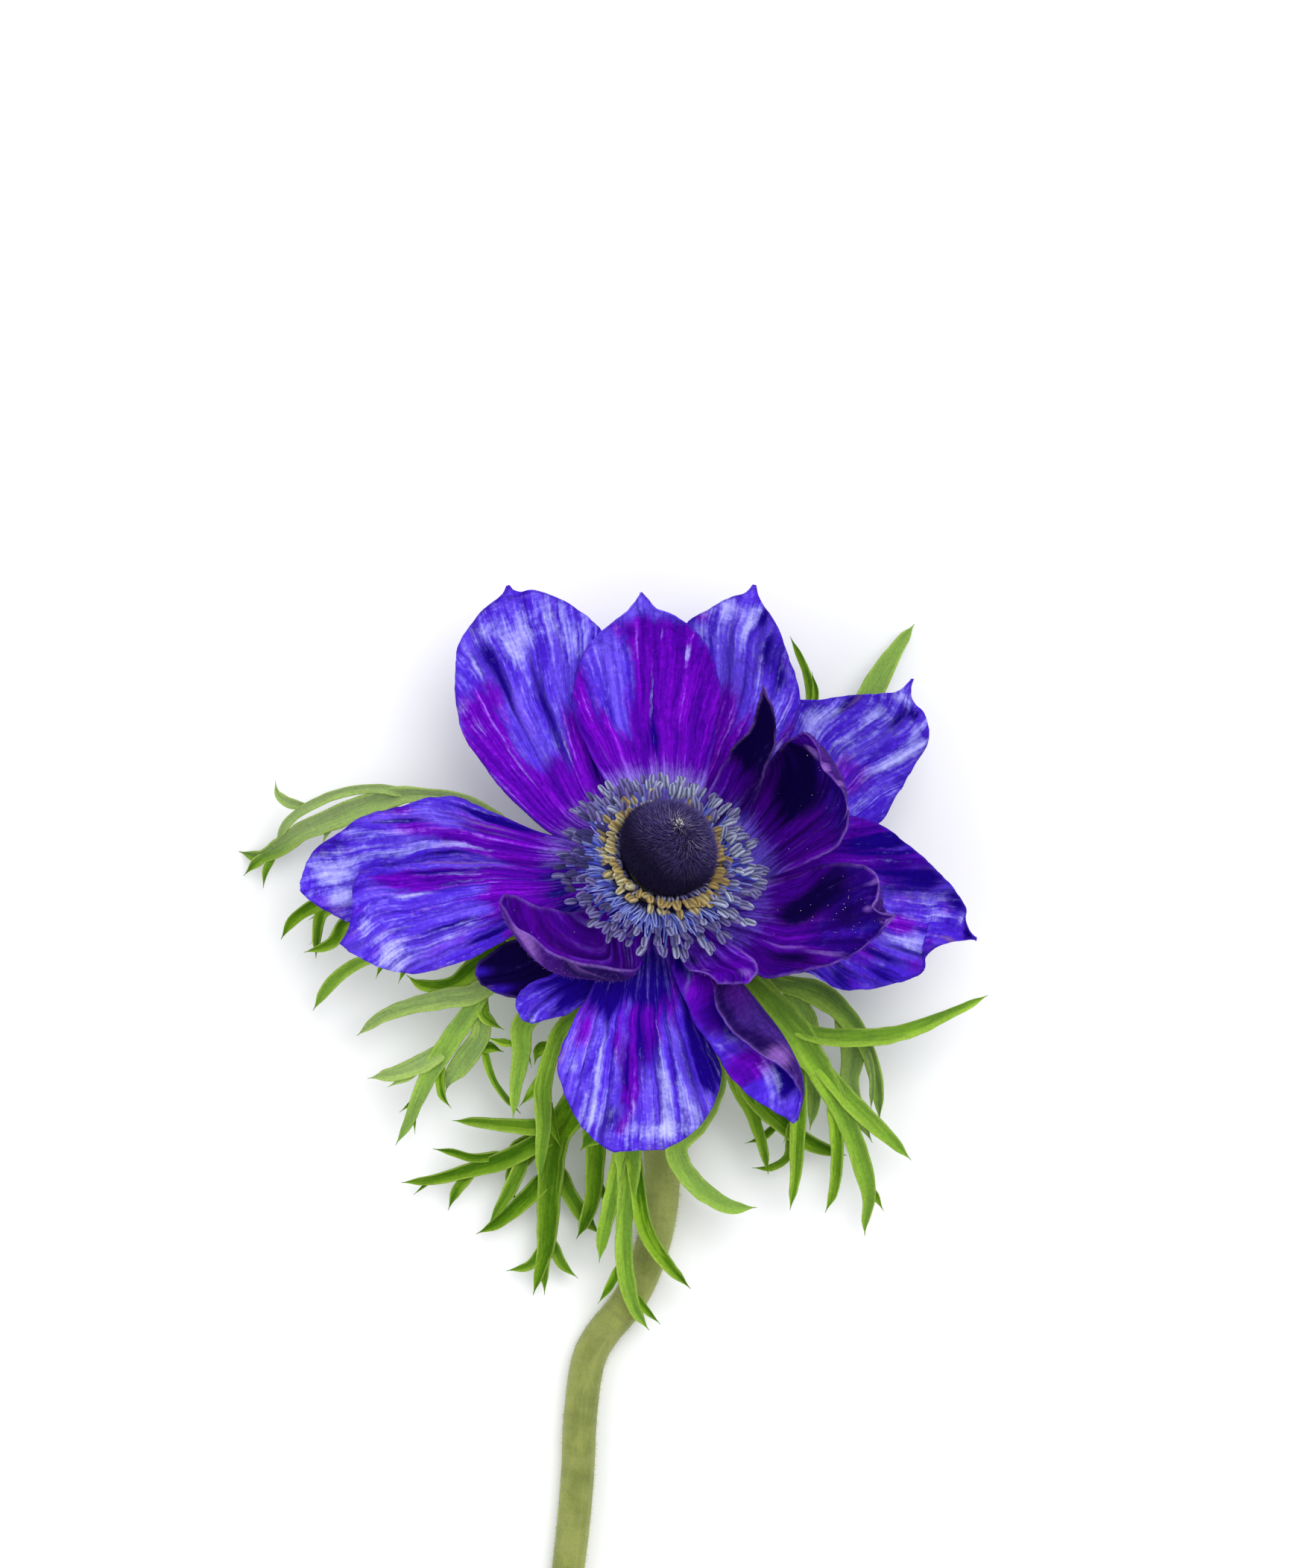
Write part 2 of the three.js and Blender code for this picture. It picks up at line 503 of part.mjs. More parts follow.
// Leaves
// Each leaf is a set of lobes fused into one frond. A lobe is a row of points on its midrib, each
// with its width. Tips taper to a blunt point.
const LEAF_LEFT = [
  [[-8, -8.4, 14.3, 5], [-14, -9, 14, 5.6], [-21, -10, 13, 5], [-27.5, -11.2, 12.3, 4]],
  [[-13, -8, 14, 4.4], [-19, -3, 13.6, 4], [-25.5, 4, 13.4, 3.4], [-31.2, 8.2, 13.2, 2.2],
    [-36, 9.1, 12.8, 1.9], [-40.4, 9.1, 12.2, 2.6], [-45.5, 7.6, 11, 3.5], [-50.5, 5.7, 9.3, 3.3],
    [-55, 3.9, 7.4, 2.8], [-58.7, 1.4, 5, 2.6], [-61.4, 0, 3, 1.8], [-64.6, 0.8, 0.2, 0.9]],
  [[-39, 9.2, 12.6, 1.8], [-44.3, 10.1, 12, 1.4], [-50, 9.3, 10.8, 1.4], [-55, 7, 9.4, 1.5],
    [-57.6, 4.8, 7.6, 1.3], [-59.2, 1.8, 5.4, 0.8]],
  [[-54.5, 7.4, 9.4, 1.8], [-57.3, 8.1, 9.8, 1.5], [-58.9, 9.4, 10.2, 1.2], [-59.2, 11.3, 10.4, 0.8]],
  [[-60, 0.8, 4.2, 1.8], [-62.2, -1, 3.2, 1.4], [-63.9, -2.8, 2.6, 0.9]],
  [[-59.2, 0.6, 4.4, 1.6], [-60.6, -2, 3.6, 1], [-61, -4.6, 3, 0.8]],
  [[-50.6, 5.4, 9.2, 1.6], [-51.6, 3.6, 8.8, 1.2], [-52.2, 1.8, 8.6, 0.8]],
  [[-26.5, -11, 12.4, 4], [-35, -9.4, 12, 3.4], [-43, -7.6, 11, 3], [-50.5, -6.4, 9.6, 2.4],
    [-54, -7.6, 8.6, 2], [-56.9, -9.8, 7.4, 1.5], [-58.4, -12.3, 6.2, 0.8]],
  [[-49, -6.8, 9.8, 2], [-52.2, -8.2, 8.8, 1.8], [-53, -11.4, 7.2, 1.4], [-53.2, -15.1, 5.6, 0.8]],
  [[-52.8, -11.4, 7.2, 1], [-54.2, -13.1, 6.4, 0.7]],
  [[-52, -7.9, 8.8, 1.2], [-54.3, -9.4, 8.2, 0.7]],
  [[-44, -7.8, 10.8, 2.4], [-48.6, -9.8, 9.6, 2.2], [-50.9, -12.8, 8.6, 1.6], [-55, -14.2, 7.2, 0.8]],
  [[-26, -11.4, 12.4, 4], [-34, -13, 12, 3], [-41, -14.4, 10.8, 2.2], [-45.5, -15.2, 9.8, 1.5],
    [-48.8, -16.9, 8.4, 1.9], [-51.4, -19.3, 6.8, 1.7], [-53.7, -22.9, 5, 0.8]],
  [[-42, -14.6, 10.6, 1.6], [-43.6, -16.4, 9.8, 1.1], [-44.3, -18.1, 9.4, 0.7]],
  [[-38.5, -13.8, 11.2, 1.6], [-40, -16.6, 10.4, 1.3], [-41, -18.8, 9.8, 0.7]],
  [[-22, -11, 13, 3.4], [-28.6, -15.6, 12.6, 3.4], [-33, -18.9, 12, 2.2], [-37.6, -19, 11.4, 1.6],
    [-39.8, -17.5, 11.4, 0.8]],
  [[-19, -10, 13.6, 3.4], [-25.6, -17, 13.6, 3], [-29.6, -20.2, 13.4, 3], [-33.5, -20.9, 12.8, 2.9],
    [-38.3, -21.9, 11.4, 2.5], [-43.4, -23.7, 9, 1.7], [-47.2, -26.6, 6.6, 0.8]],
  [[-27.6, -18.4, 13.2, 2.6], [-30.4, -23.2, 12.6, 2.8], [-33.2, -27.2, 11.6, 3], [-35.8, -31.2, 10.4, 2.8],
    [-38, -35.6, 9.2, 2.1], [-39.3, -39, 8.2, 1.5], [-41.4, -42.8, 7, 0.8]],
  [[-37.8, -35.6, 9.2, 1.3], [-39.4, -36.8, 8.8, 1], [-40.8, -37.9, 8.6, 0.7]],
  [[-38.7, -37.6, 8.6, 1], [-38.5, -41.1, 7.8, 0.6]],
  [[-33.4, -28, 11.4, 2.6], [-37.4, -30.6, 10.8, 2.8], [-41, -32, 9.8, 2.2], [-45.6, -32.9, 8.6, 0.8]],
  [[-38, -31.6, 10.6, 1.8], [-42.6, -34.2, 9, 0.7]],
  [[-28.8, -22, 12.6, 2.4], [-28.9, -26.6, 11.4, 2.8], [-31.4, -30.4, 10.2, 3.2], [-33.5, -33.2, 9, 1.8],
    [-34, -35, 8.4, 0.7]],
  [[-34.4, -29.6, 11, 1.2], [-34.8, -33, 9.6, 1.3], [-34.5, -35.4, 8.6, 1.1], [-33.1, -37.3, 7.8, 0.7]],
  [[-28.2, -20.6, 13.2, 2], [-28.4, -23.2, 13.2, 1.8], [-26.8, -24.8, 13, 1.3], [-25.2, -25.7, 12.8, 0.7]],
  [[-29.4, -28.4, 10.9, 2], [-27.4, -28.3, 10.4, 2.2], [-25.4, -28.9, 9.6, 1]],
  [[-28.4, -28, 10.4, 1.3], [-27.1, -32.6, 8.6, 1], [-25.2, -35.6, 7.4, 0.9], [-22.8, -38.1, 6.2, 0.8]],
];
const LEAF_LOWER = [
  [[-4.7, -11.8, 15.8, 5], [-6, -17, 14.8, 6], [-8, -24, 13.2, 6], [-9, -32, 12, 5.4], [-8.6, -39, 11.4, 5]],
  [[-7, -16, 14.8, 3.6], [-14, -19.6, 14.4, 3.4], [-19.6, -22, 14.4, 3], [-22.5, -25, 14, 3.2],
    [-22.7, -29, 13, 2.7], [-23.5, -34, 11.6, 1.7], [-24, -38.9, 10.2, 0.8]],
  [[-22, -28.4, 13, 1.4], [-21.2, -31.2, 12.4, 0.7]],
  [[-23.2, -27.8, 13.4, 1.4], [-25.6, -27.5, 13.6, 1.2], [-28, -26.7, 13.8, 0.7]],
  [[-7.4, -20, 14, 3.8], [-12.6, -23, 13.6, 3.2], [-16.6, -25.4, 13.2, 2.4], [-18.2, -29, 12.6, 2.4],
    [-19.5, -34, 11.6, 2.6], [-19.4, -40, 10.2, 2.3], [-19.9, -44.6, 9, 1.5], [-20.1, -48.1, 8, 0.8]],
  [[-19.3, -31.6, 12, 1.4], [-21.2, -34.9, 11.2, 1.3], [-23.1, -37.1, 10.6, 0.7]],
  [[-18.4, -36.6, 10.8, 1.2], [-17.9, -40.4, 9.8, 1.1], [-16.7, -43.3, 9, 0.7]],
  [[-17.6, -28, 12.6, 2], [-20.2, -28.9, 11.6, 2.2], [-20.8, -30.8, 11, 1]],
  [[-8.6, -26, 12.8, 5], [-12, -32, 10.8, 5], [-15, -37.4, 8.6, 5], [-17.6, -41.6, 7.2, 4],
    [-18.4, -47.6, 6, 3.6], [-18.8, -53, 5, 3.3], [-19, -57.4, 4.2, 2.7], [-19.9, -61, 3.6, 1.7],
    [-21, -65, 3, 0.8]],
  [[-19, -57, 4.2, 1.8], [-21.4, -60.5, 3.6, 1.4], [-25, -61.4, 3, 0.8]],
  [[-18.7, -56, 4.4, 2], [-16.7, -60.4, 3.4, 1.4], [-14.3, -62.5, 2.6, 0.8]],
  [[-19, -58, 4, 1.4], [-19.3, -62, 3.3, 1.1], [-19.3, -65, 2.8, 0.7]],
  [[-18.4, -46.8, 6, 3], [-22.8, -51.4, 4.8, 2.5], [-26.4, -54.4, 3.8, 1.6], [-29.4, -55.9, 3, 0.8]],
  [[-17.6, -45.6, 6.2, 2.4], [-15.4, -50.4, 4.6, 2.3], [-13, -54, 3.2, 1.8], [-10.9, -56.1, 2.6, 0.8]],
  [[-16.4, -38.6, 8, 2.4], [-20, -40, 8, 2.5], [-24, -39.9, 7.6, 2.1], [-28.6, -39.4, 7, 1.5],
    [-33, -39.1, 6.4, 0.8]],
  [[-17, -40.6, 7.4, 2.8], [-21.4, -43, 6.6, 2.8], [-25.4, -45, 5.8, 2.7], [-30.4, -46.5, 5, 2.1],
    [-36, -47.9, 4.2, 1.4], [-40.6, -48.3, 3.6, 0.8]],
  [[-24.6, -44.2, 6, 1.6], [-30, -44.6, 5.6, 1.3], [-33, -43.8, 5.8, 1.1], [-35.9, -43.3, 6, 0.7]],
  [[-29.6, -46.6, 5, 1.8], [-32.2, -49.2, 4.2, 1.5], [-33.6, -52.4, 3.4, 0.8]],
  [[-36.2, -48, 4.2, 1.2], [-38.7, -50.1, 3.4, 0.7]],
  [[-22, -43.6, 6.4, 2.2], [-24.2, -48.9, 5.4, 2], [-27.6, -54.6, 4.6, 0.8]],
  [[-9.4, -33, 11.6, 4], [-11.4, -40, 9.6, 2.8], [-11.8, -46, 7.6, 2.8], [-12.3, -51, 6.2, 2.2],
    [-13.4, -54.4, 5.4, 1.6], [-14.6, -56.7, 4.8, 0.8]],
  [[-11.6, -47.4, 7.2, 1.6], [-10.7, -50, 6.6, 1.1], [-10.4, -51.9, 6.2, 0.7]],
  [[-8.6, -37, 11.6, 4.4], [-7, -43, 11, 4.2], [-7, -49, 10.2, 3], [-7.5, -54.6, 9.4, 2.5],
    [-7.5, -59, 8.8, 2.6], [-6.9, -63.6, 8, 2.4], [-5.7, -67.4, 7, 1.7], [-3.8, -70.2, 6, 0.8]],
  [[-7.6, -42, 11, 2.4], [-8.9, -48, 10.2, 2.2], [-9.8, -52.4, 9.4, 2.2], [-10.7, -56.4, 8.4, 1.8],
    [-11.2, -60.2, 7.6, 0.8]],
  [[-6.4, -42.6, 11, 2.4], [-5.5, -49, 10.4, 2.3], [-4.4, -55, 9.8, 2.4], [-1.9, -59.4, 9, 2],
    [2.4, -64.1, 8, 0.8]],
  [[-7.8, -60, 8.6, 1.5], [-9.6, -63.6, 8, 1.2], [-11.4, -66.3, 7.6, 0.7]],
  [[-6.2, -64.4, 7.8, 1.3], [-4.4, -67, 7.2, 1.1], [-2.1, -69.3, 6.6, 0.7]],
  [[-6, -16, 14.8, 4.4], [-1, -23, 13.8, 4], [4.2, -28, 13.2, 4], [5.6, -33.4, 12.8, 4.2],
    [3, -39.4, 12, 3.8], [0.2, -43, 11.2, 3.2], [1.2, -46.2, 10.4, 3], [4.6, -49.8, 9.4, 2.9],
    [8.4, -51.9, 8.4, 2.1], [12.2, -52, 7.4, 0.8]],
  [[-9.2, -36, 11, 4], [-12, -41, 10, 3.4], [-14, -43.6, 9.4, 1.4]],
  [[-18.6, -42, 6.4, 2.2], [-22.6, -42.4, 4.6, 1.8], [-25.6, -44.4, 4, 0.8]],
  [[-20.6, -44, 6, 2], [-24.2, -47, 4, 1.7], [-23.6, -51.2, 3.2, 0.8]],
];
const LEAF_RIGHT = [
  [[-1, -9.1, 13.3, 5], [4, -12, 14, 5.6], [9, -16.4, 14.6, 5.2], [13, -20.8, 14.8, 5],
    [16.3, -24.2, 14.6, 5], [19.2, -28, 13.8, 4.6], [21.8, -32.2, 12.6, 3.6], [24.3, -36.8, 11, 3.2],
    [26.4, -41.5, 9.2, 2.9], [28, -46.4, 7.4, 2.8], [28.8, -50.6, 6.2, 1.9], [28.2, -54.4, 5.2, 1.1],
    [28.2, -56.3, 4.8, 0.8]],
  [[28.6, -48.6, 6.8, 1.6], [29.9, -50.6, 6.2, 1.2], [31, -52.6, 5.6, 0.8]],
  [[16.6, -23.8, 14.6, 3], [20, -26.1, 14.2, 2.5], [26, -26.8, 13.6, 2.8], [31.4, -26.5, 12.6, 2.5],
    [36.6, -25.1, 11.4, 2.1], [41.6, -22.9, 10.2, 1.4], [46.5, -20.5, 9, 0.8]],
  [[20, -29, 13.4, 2.6], [24.6, -34.7, 11.8, 2.7], [28.6, -38.8, 10.2, 2.7], [31.8, -41.7, 9, 1.9],
    [35.1, -45, 7.8, 0.8]],
  [[23.4, -35.4, 11.2, 2], [24, -41.6, 9.6, 1.9], [24, -46.4, 8.2, 1.7], [23.4, -50, 7.2, 1.3],
    [22.3, -52.8, 6.4, 0.8]],
  [[17.4, -26, 13.8, 2.4], [18.3, -32, 11.8, 2.3], [18.4, -38, 10.2, 2.4], [18.1, -43, 8.8, 2.2],
    [17.9, -47.4, 7.6, 1.5], [17.1, -52.4, 6.4, 0.8]],
  [[17.7, -38.6, 9.8, 1.2], [16.1, -42.5, 8.8, 0.7]],
  [[3.4, -12.4, 13.6, 4], [6.6, -20, 10.8, 3.2], [8, -27.4, 9.4, 3.2], [9.5, -33, 8.4, 3.2],
    [11.6, -38.4, 7.2, 2], [13, -42.8, 6.2, 1.5], [13.9, -47.1, 5.2, 0.8]],
  [[8.2, -29, 9, 3], [12.4, -36.2, 7.6, 3], [17, -40.4, 6.2, 2.6], [20.9, -42.9, 5.2, 2.1],
    [25.5, -44.3, 4, 0.8]],
  [[15.4, -39.6, 6.6, 1.4], [13, -41.6, 5.4, 1.1], [10.4, -42.5, 4.8, 0.7]],
  [[17.2, -40.6, 6, 1.4], [16.6, -44.6, 4.8, 1.2], [14.2, -46.1, 4.2, 1.1], [11.4, -46.1, 3.8, 0.7]],
  [[10, -15.8, 14, 3.4], [15.6, -18.6, 12.4, 2.6], [21.2, -20.3, 11, 3.6], [25.2, -23.4, 9.8, 3.1],
    [28.2, -27.8, 8.6, 2.3], [29.8, -33, 7.4, 1.9], [30.4, -39.2, 6.2, 0.8]],
  [[27.6, -26.6, 9, 1.4], [29.2, -32, 7.8, 1], [29.1, -37.6, 6.6, 0.7]],
  [[24.4, -22.6, 10, 3], [26.4, -28.4, 7.6, 3.4], [26, -33, 6.4, 2.8], [27.4, -38.4, 5.2, 1.7],
    [29.3, -42.4, 4.2, 0.8]],
  [[16.2, -19, 12.2, 2.4], [19.6, -24, 9.6, 2.8], [20.4, -31, 7.8, 2.2], [20.6, -36.6, 6.8, 1.8],
    [20, -40.6, 6.6, 0.9]],
  [[-0.7, -9, 13.2, 4.4], [4, -6, 10.4, 4.2], [12, 4, 7.6, 4], [20, 12.4, 7, 4], [27, 20.6, 6.6, 4],
    [30, 26, 5.4, 3.4], [32.6, 30.4, 3.2, 2.2], [35.6, 34.6, 0.16, 0.9]],
  [[16, 8, 7.3, 2], [19, 15, 7.8, 1.6], [20.2, 22, 8, 1.4], [19.6, 27, 7.6, 1.2], [17.1, 32.7, 6.6, 0.7]],
  [[20, 20.6, 8, 1.2], [20.9, 24, 8.2, 1], [20.3, 27.5, 8, 0.7]],
];

function lobe(list) {
  const curve = new THREE.CatmullRomCurve3(list.map(point));
  const rows = Math.max(3, Math.min(10, Math.round(curve.getLength() / LOBE_STEP) + 1));
  const widest = Math.max(...list.map((entry) => entry[3]));
  const shares = widest < NARROW_LOBE ? [-0.5, 0.5] : [-0.5, 0, 0.5];
  const grid = [];
  for (let i = 0; i < rows; i++) {
    const t = curve.getUtoTmapping(i / (rows - 1));
    const place = t * (list.length - 1);
    const before = Math.min(Math.floor(place), list.length - 2);
    const wide = THREE.MathUtils.lerp(list[before][3], list[before + 1][3], place - before);
    const centre = curve.getPoint(t);
    const along = curve.getTangent(t);
    const side = new THREE.Vector3().crossVectors(along, new THREE.Vector3(0, 0, 1)).normalize();
    const up = new THREE.Vector3().crossVectors(side, along);
    const row = shares.map((share) => centre.clone()
      .addScaledVector(side, share * wide)
      .addScaledVector(up, Math.abs(share) * wide * LEAF_CHANNEL * 2));
    grid.push(row);
  }
  return blade(grid, LEAF_THICK);
}

function leaf(lobes) {
  // Whatever reaches the surface is cut off flat on it
  return fuse(lobes.map(lobe)).trimByPlane([0, 0, 1], 0);
}

const group = new THREE.Group();
group.name = 'anemone_flower';

function add(name, solid, colour, roughness) {
  const mesh = solid.getMesh();
  const geometry = new THREE.BufferGeometry();
  geometry.setAttribute('position', new THREE.BufferAttribute(mesh.vertProperties, 3));
  geometry.setIndex(new THREE.BufferAttribute(mesh.triVerts, 1));
  geometry.translate(-REST_X, -REST_Y, 0);
  geometry.computeVertexNormals();
  const material = new THREE.MeshStandardMaterial({ color: colour, roughness });
  const piece = new THREE.Mesh(geometry, material);
  piece.name = name;
  group.add(piece);
}

add('stem', stem(), 0x8f9e58, 0.7);
add('pistil_dome', dome(), 0x1d1230, 0.9);
add('stamens_outer', outerStamens(), 0x7f88bd, 0.7);
add('stamens_inner', innerStamens(), 0xc8a85a, 0.7);
PETALS.forEach((spec) => {
  const colour = spec.name.includes('inner') ? 0x2c0a63 : 0x4b35d6;
  add(spec.name, petal(spec), colour, 0.6);
});
add('leaf_left', leaf(LEAF_LEFT), 0x6fae1f, 0.6);
add('leaf_lower', leaf(LEAF_LOWER), 0x5c9a1c, 0.6);
add('leaf_right', leaf(LEAF_RIGHT), 0x67a61e, 0.6);

export default group;
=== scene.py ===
# %% [markdown]
# # An anemone flower, cut and laid down
# A florist's anemone has one open flower on a bare, slightly hairy stem, with a ruff of finely cut
# leaves just below the petals. It lies on a table: the stem and the tips of two leaves touch it.
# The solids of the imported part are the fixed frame. Blender adds the fine forms and the finishes
# on top of them, in the same place, so the first step is to load that frame and keep its box.

# %% Load the frame
import math
import bpy
import numpy as np
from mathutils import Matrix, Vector


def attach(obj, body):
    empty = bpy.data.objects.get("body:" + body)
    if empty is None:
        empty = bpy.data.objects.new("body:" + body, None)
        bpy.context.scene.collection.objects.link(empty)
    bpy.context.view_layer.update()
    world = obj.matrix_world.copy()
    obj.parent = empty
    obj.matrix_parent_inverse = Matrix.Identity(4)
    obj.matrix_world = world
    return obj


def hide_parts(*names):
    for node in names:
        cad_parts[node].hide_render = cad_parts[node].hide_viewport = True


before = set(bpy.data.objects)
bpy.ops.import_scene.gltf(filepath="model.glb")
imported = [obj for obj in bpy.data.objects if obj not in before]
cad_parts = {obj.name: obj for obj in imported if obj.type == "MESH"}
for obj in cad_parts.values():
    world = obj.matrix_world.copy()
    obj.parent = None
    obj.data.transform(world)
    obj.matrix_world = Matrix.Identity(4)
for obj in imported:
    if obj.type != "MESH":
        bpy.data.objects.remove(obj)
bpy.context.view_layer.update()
print("solids in the frame:", len(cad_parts))

# %% [markdown]
# ## Measures
# Flowers are measured in millimetres and Blender works in metres, so every place below is given in
# millimetres and turned into the frame by one function. The frame's origin is on the underside of
# the stem. The open face looks up and a little along +Y. The places come from looking straight
# down on the flower from a known height, so each is slid along its line of sight to its own height.

# %% Places in millimetres
MM = 0.001
ORIGIN = np.array([-2.4, -55.0, 0.0])
EYE_HEIGHT = 1500.0
EYE = np.array([-4.1, 10.8])
HEAD = np.array([-2.4, -2.6, 24.0])


def unit(vector):
    return vector / np.linalg.norm(vector, axis=-1, keepdims=True)


def full_turn(count):
    """Angles spread evenly round a circle."""
    return np.arange(count) / count * math.tau


def spin(turn, side, up):
    """Directions at these angles round a circle, from side towards up."""
    return np.cos(turn)[..., None] * side + np.sin(turn)[..., None] * up


FACE = unit(np.array([0.186, 0.512, 0.839]))
ACROSS = unit(np.array([1.0, 0.0, 0.0]) - FACE * FACE[0])
UPWARD = np.cross(FACE, ACROSS)


def point(place):
    """A measured place and its height, slid along its line of sight."""
    x, y, z = place[:3]
    nearer = (EYE_HEIGHT - z) / (EYE_HEIGHT - HEAD[2])
    return np.array([EYE[0] + (x - EYE[0]) * nearer, EYE[1] + (y - EYE[1]) * nearer, z])


def around(angle, radius, height):
    """A place near the head, from its angle in degrees, distance from the axis and height on it."""
    return HEAD + spin(np.radians(angle), ACROSS, UPWARD) * radius + FACE * height


print("the face looks along", FACE.round(2))

# %% [markdown]
# ## Helpers for smooth forms
# A petal's edge is a curve through a handful of points. The curve passes through each of them and
# takes its pace from the distance between them, so that close points don't make it loop. It is
# sampled once, with the length so far beside it, and then read at any share of its length.

# %% Curves through points
SPAN_STEPS = 24


def smooth_curve(points):
    """A curve through the points: its samples, the share of its length at each, and its length."""
    rows = np.array(points, float)
    rows = np.vstack([2 * rows[0] - rows[1], rows, 2 * rows[-1] - rows[-2]])
    step = np.linspace(0, 1, SPAN_STEPS, endpoint=False)[:, None]
    samples = []
    for p0, p1, p2, p3 in zip(rows, rows[1:], rows[2:], rows[3:]):
        d0, d1, d2 = [max(np.linalg.norm((b - a)[:3]), 1e-6) ** 0.5
                      for a, b in ((p0, p1), (p1, p2), (p2, p3))]
        leave = ((p1 - p0) / d0 - (p2 - p0) / (d0 + d1) + (p2 - p1) / d1) * d1
        arrive = ((p2 - p1) / d1 - (p3 - p1) / (d1 + d2) + (p3 - p2) / d2) * d1
        square = 3 * (p2 - p1) - 2 * leave - arrive
        cube = 2 * (p1 - p2) + leave + arrive
        samples.append(p1 + leave * step + square * step ** 2 + cube * step ** 3)
    samples = np.vstack(samples + [rows[-2][None]])
    lengths = np.linalg.norm(np.diff(samples[:, :3], axis=0), axis=1)
    so_far = np.concatenate([[0], np.cumsum(lengths)])
    return samples, so_far / so_far[-1], so_far[-1]


def read_curve(curve, shares):
    """The curve's points at these shares of its length."""
    samples, so_far, _ = curve
    return np.stack([np.interp(shares, so_far, samples[:, k]) for k in range(samples.shape[1])], 1)


def smooth_step(value, low, high):
    t = np.clip((value - low) / (high - low), 0, 1)
    return t * t * (3 - 2 * t)


HILL_TABLE = 64


def rolling(x, y, seed):
    """Smooth random heights from -1 to 1, one hill for each step of x and y."""
    table = np.random.default_rng(seed).uniform(-1, 1, (HILL_TABLE, HILL_TABLE))
    x0 = np.floor(x).astype(int)
    y0 = np.floor(y).astype(int)
    fx = smooth_step(x - x0, 0, 1)
    fy = smooth_step(y - y0, 0, 1)
    x0, x1, y0, y1 = [k % HILL_TABLE for k in (x0, x0 + 1, y0, y0 + 1)]
    near = table[x0, y0] * (1 - fx) + table[x1, y0] * fx
    far = table[x0, y1] * (1 - fx) + table[x1, y1] * fx
    return near * (1 - fy) + far * fy


print("a curve of", SPAN_STEPS, "samples for each span")

# %% [markdown]
# A petal or a leaf is a thin blade. It starts as a grid of points on its middle surface and is
# thickened both ways along its own normal, then closed round the rim. Doing this in code, and not
# with a Solidify modifier, lets the rim be thinner than the middle, as on a real petal, and keeps
# the number of each point, so that masks for the paint can be stored with it.

# %% Blades, tubes and heaps
def surface_normal(grid):
    return unit(np.cross(np.gradient(grid, axis=1), np.gradient(grid, axis=0)) + 1e-12)


def thin_blade(grid, thick):
    """Vertices, faces and which faces are the underside, of a closed blade. thick is per point."""
    rows, cols = grid.shape[:2]
    half = surface_normal(grid) * thick[..., None] / 2
    number = np.arange(rows * cols).reshape(rows, cols)
    corners = [number[:-1, :-1], number[:-1, 1:], number[1:, 1:], number[1:, :-1]]
    faces = np.stack([c.ravel() for c in corners], 1)
    under = np.stack([c.ravel() + rows * cols for c in corners[::-1]], 1)
    ring = np.concatenate([number[0, :-1], number[:-1, -1], number[-1, :0:-1], number[:0:-1, 0]])
    after = np.roll(ring, -1)
    rim = np.stack([after, ring, ring + rows * cols, after + rows * cols], 1)
    vertices = np.concatenate([(grid + half).reshape(-1, 3), (grid - half).reshape(-1, 3)])
    is_under = np.concatenate([np.zeros(len(faces)), np.ones(len(under)), np.zeros(len(rim))])
    return vertices, np.concatenate([faces, under, rim]), is_under.astype(int)


def for_both_faces(masks):
    """Masks of a grid, given to the upper and the lower points of its blade."""
    return {name: np.concatenate([m.reshape(-1, *m.shape[2:])] * 2) for name, m in masks.items()}


def level_frame(along):
    """For something that runs along: a level direction to its side, and its own up."""
    side = unit(np.cross(along, np.array([0, 0, 1.0])))
    return side, np.cross(side, along)


def ring_faces(count, sides):
    """Faces between rings of points, with a fan at each end."""
    k = np.arange(sides)
    after = (k + 1) % sides
    faces = [list(q) for i in range(count - 1)
             for q in zip(k + i * sides, after + i * sides, after + (i + 1) * sides, k + (i + 1) * sides)]
    return faces + [list(k[::-1]), list(k + (count - 1) * sides)]


def round_tube(centres, radii, sides):
    """Vertices and faces of a closed tube along a row of points, with a radius at each."""
    along = unit(np.gradient(centres, axis=0))
    side = unit(np.cross(along, FACE))
    up = np.cross(side, along)
    rings = centres[:, None] + spin(full_turn(sides), side[:, None], up[:, None]) * radii[:, None, None]
    return rings.reshape(-1, 3), ring_faces(len(centres), sides)


def ball(polar, turn, side, up, pole):
    """Directions over a ball, from angles off its pole and turns round it."""
    return np.sin(polar)[:, None, None] * spin(turn, side, up) + np.cos(polar)[:, None, None] * pole


class Heap:
    """Small forms gathered into one mesh, with the masks of each."""

    def __init__(self):
        self.vertices = []
        self.faces = []
        self.masks = {}
        self.count = 0

    def add(self, vertices, faces, **masks):
        self.vertices.append(vertices)
        self.faces.extend([[int(i) + self.count for i in face] for face in faces])
        for name, value in masks.items():
            value = np.asarray(value, float)
            if value.ndim == 0:
                value = np.full(len(vertices), value)
            self.masks.setdefault(name, []).append(value)
        self.count += len(vertices)


print("blades, tubes and heaps are ready")

# %% [markdown]
# Each finished piece rides on the part's one body, hides the solid that it stands for and takes its
# finish. One function does this for all, so that no piece can be forgotten.

# %% Make a piece
triangles = 0


